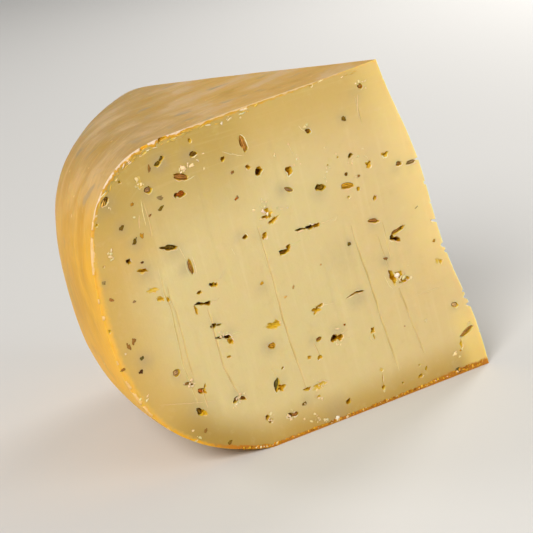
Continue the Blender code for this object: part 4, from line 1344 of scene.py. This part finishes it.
def lipRing(cut, line, walked, index):
    # the section of the lip at one place on the edge, and the colour at each of its corners
    (r, z), walk = line[index], walked[index]
    step = line[index + 1] - line[index - 1]
    flat = onCut(cut, *edgePoint(cut, r, z))
    edge = onRind(flat)
    edge = edge - cut["out"] * (edge - flat).dot(cut["out"])
    if r < tipRadius(z) + 0.3 or walk > lip["end"] or aboveFloor(edge) < lip["clear"]:
        return None
    inward = (Vector((edge.x, edge.y, 0)).normalized() * step[1] - Vector((0, 0, 1)) * step[0])
    inward = (inward - cut["out"] * inward.dot(cut["out"])).normalized()
    if inward.dot(Vector((0, 0, wheel["height"] / 2)) - edge) < 0:
        inward = -inward
    side, here = (0, 1) if cut is shownCut else (30, 0)

    def wave(size, phase):
        return noise.noise(Vector((walk / size, side, phase)))

    def added(spots):
        return [extra * max(0, 1 - abs(walk - where) / spread) * here for where, extra, spread in spots]

    waves, slow, torn = wave(2.3, 0) + 0.6 * wave(0.8, 4), wave(14, 8), wave(0.6, 6)
    near, down, onTop = (rise(walk, *lip[part]) for part in ("starts", "down", "onTop"))
    before, whole, fading, after = lip["ragged"]
    ragged = rise(walk, before, whole) * rise(walk, after, fading)
    low, high = lip["width"]
    width = low + (high - low) * min(1.2, max(0, 0.34 + 0.9 * waves + 0.7 * slow))
    width += (0.02 + 0.4 * slow + 0.6 * waves) * down * min(1, (lip["end"] - walk) / 12)
    width += ragged * (0.02 + 0.55 * max(-0.4, torn))
    width *= near
    for extra in added(lip["tags"]):
        width += extra
    if width < lip["least"] + lip["gap"] * down:
        return None
    proud = lip["proud"] * min(1, max(0.1, 0.5 + 0.9 * (wave(2.6, 9) + 0.5 * wave(0.9, 2)))) * near
    thin, thick = lip["line"]
    share = min(1, max(0, 0.5 + wave(1.7, 5)))
    inner = width + near * (thin + (thick - thin) * share) * (1 - 0.5 * down) * (1 - 0.4 * onTop)
    inner += ragged * (0.5 * share + 0.7 * max(0, torn))
    for extra in added(lip["golden"]):
        inner += extra
    skin, under = ([np.interp(walk, lip["walks"], parts) for parts in zip(*lip[layer])]
                   for layer in ("skin", "under"))
    # how far in, how far out, colour
    section = (
        (inner, -0.06, under), (inner - 0.06, 0.02, under), (width + 0.05, 0.03, under),
        (width * 0.8, proud * 0.6, skin), (width * 0.2, proud, skin), (-0.05, proud * 0.5, skin),
        (-0.06, -0.25, skin), (0.02, -lip["wrap"], skin), (0.3, -lip["wrap"], under),
        (width * 0.9, -0.25, under),
    )
    return [(edge + inward * across + cut["out"] * out, tone) for across, out, tone in section]


def makeLip(cut, name):
    line, walked = rindPoints(lip["step"])
    shape, tones = newToned()
    runs = [[]]
    for index in range(1, len(line) - 1):
        ring = lipRing(cut, line, walked, index)
        if ring:
            runs[-1].append(ring)
        else:
            runs.append([])
    for run in runs:
        if len(run) > 3:
            rings = [[shape.verts.new(place) for place, _ in ring] for ring in run]
            for made, ring in zip(rings, run):
                for vertex, (_, tone) in zip(made, ring):
                    colourIn([vertex], tones, tone)
            joinRings(shape, rings)
    piece = newObject(name, shape, (finishes["lip"],))
    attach(piece, "root")


makeLip(shownCut, "rind_lip_shown")
makeLip(farCut, "rind_lip_far")

# the crust under the wheel crumbles where it was cut
crust = {
    "count": 330, "walks": (212, 292), "starts": (205, 225), "deep": (0.12, 1.15),
    "tipCount": 420, "tipSpan": (7, 84), "tipHigh": 0.3, "tipDeep": (1.0, 0.9), "tipThick": (34, 10),
    "size": (0.3, 1.05), "flat": (0.7, 0.6), "sunk": 0.12, "margin": 0.4, "clear": 0.75,
    "tones": ((0.3, 0.1, 0.003), (0.44, 0.16, 0.004), (0.6, 0.25, 0.006), (0.78, 0.42, 0.03),
              (0.84, 0.66, 0.36)),
    "weights": (2, 3, 5, 4, 1),
}


def crustSpots(cut, draw):
    # places on the cut within the crust: along the bulging base, then where the wedge meets the floor
    line, walked = rindPoints(wheel["edgeStep"])
    for _ in range(crust["count"]):
        walk = draw.uniform(*crust["walks"])
        spot = int(np.searchsorted(walked, walk))
        step = line[spot + 1] - line[spot - 1]
        inside = draw.uniform(*crust["deep"]) * rise(walk, *crust["starts"])
        yield edgePoint(cut, *(line[spot] + np.array([step[1], -step[0]]) / np.hypot(*step) * inside))
    for _ in range(crust["tipCount"]):
        r = draw.uniform(*crust["tipSpan"])
        across, _ = edgePoint(cut, r, 1)
        deep, more = crust["tipDeep"]
        high = draw.uniform(crust["tipHigh"], deep + more * rise(r, *crust["tipThick"]))
        yield across, (high - aboveFloor(cut["origin"] + cut["along"] * across)) / cut["up"].dot(floorUp)


def makeCrust():
    draw = random.Random(17)
    shape, tones = newToned()
    for cut in (shownCut, farCut):
        for across, up in crustSpots(cut, draw):
            size = draw.uniform(*crust["size"])
            place = onCut(cut, across, up, -crust["sunk"] * size)
            if inWheel(place, crust["margin"] * size) and aboveFloor(place) >= crust["clear"] * size:
                sizes = (size, *(size * share for share in crust["flat"]))
                made = addLump(shape, place, cutAxes(cut), sizes, draw.uniform(0, 180), 0.7, across, 2)
                tone = draw.choices(crust["tones"], crust["weights"])[0]
                colourIn(made, tones, varied(tone, draw, 0.15))
    return newObject("base_crust", shape, (finishes["crust"],))


baseCrust = makeCrust()
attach(baseCrust, "root")
print("lips and crust laid on")


# floor, light and camera
studio = {
    "floor": (0.66, 0.65, 0.63), "floorSize": 12, "world": 0.22,
    "lights": (
        ("key", (-0.85, -0.72, 0.85), 0.6, 15.4, (1.0, 0.98, 0.95)),
        ("fill", (0.55, -1.05, 0.5), 0.8, 4.5, (1.0, 0.98, 0.96)),
        ("backLeft", (-0.85, 0.75, 0.75), 0.5, 4.0, (1.0, 0.98, 0.95)),
        ("backRight", (0.85, 0.45, 0.4), 0.4, 6.0, (1.0, 0.98, 0.95)),
    ),
}
view = {"place": (-215.3, -445.7, 195.6), "aim": (10.1, -11.4, 38.3), "roll": 9.5, "lens": 114.8}


def makeStudio():
    bpy.ops.mesh.primitive_plane_add(size=studio["floorSize"])
    floor = bpy.context.object
    floor.name = "floor"
    made, shader, w = newMaterial("floor", {"Roughness": 0.75, "Specular IOR Level": 0.2})
    w.plug(shader.inputs["Base Color"], studio["floor"])
    floor.data.materials.append(made)
    world = bpy.data.worlds.new("studio")
    world.use_nodes = True
    background = world.node_tree.nodes["Background"]
    background.inputs["Color"].default_value = (1, 1, 1, 1)
    background.inputs["Strength"].default_value = studio["world"]
    bpy.context.scene.world = world
    for name, place, size, power, colour in studio["lights"]:
        lamp = bpy.data.lights.new(name, "AREA")
        lamp.shape, lamp.size, lamp.energy, lamp.color = "DISK", size, power, colour
        item = bpy.data.objects.new(name, lamp)
        bpy.context.scene.collection.objects.link(item)
        item.location = place
        item.rotation_euler = (Vector((0, 0, 0.05)) - item.location).to_track_quat("-Z", "Y").to_euler()
    bpy.context.scene.view_settings.view_transform = "Standard"


def makeCamera():
    data = bpy.data.cameras.new("camera")
    data.lens, data.sensor_width = view["lens"], 36
    camera = bpy.data.objects.new("camera", data)
    bpy.context.scene.collection.objects.link(camera)
    place, aim = Vector(view["place"]) * mm, Vector(view["aim"]) * mm
    straight = (aim - place).to_track_quat("-Z", "Y").to_matrix()
    rolled = straight @ Matrix.Rotation(math.radians(-view["roll"]), 3, "Z")
    camera.matrix_world = Matrix.Translation(place) @ rolled.to_4x4()
    bpy.context.scene.camera = camera


makeStudio()
makeCamera()
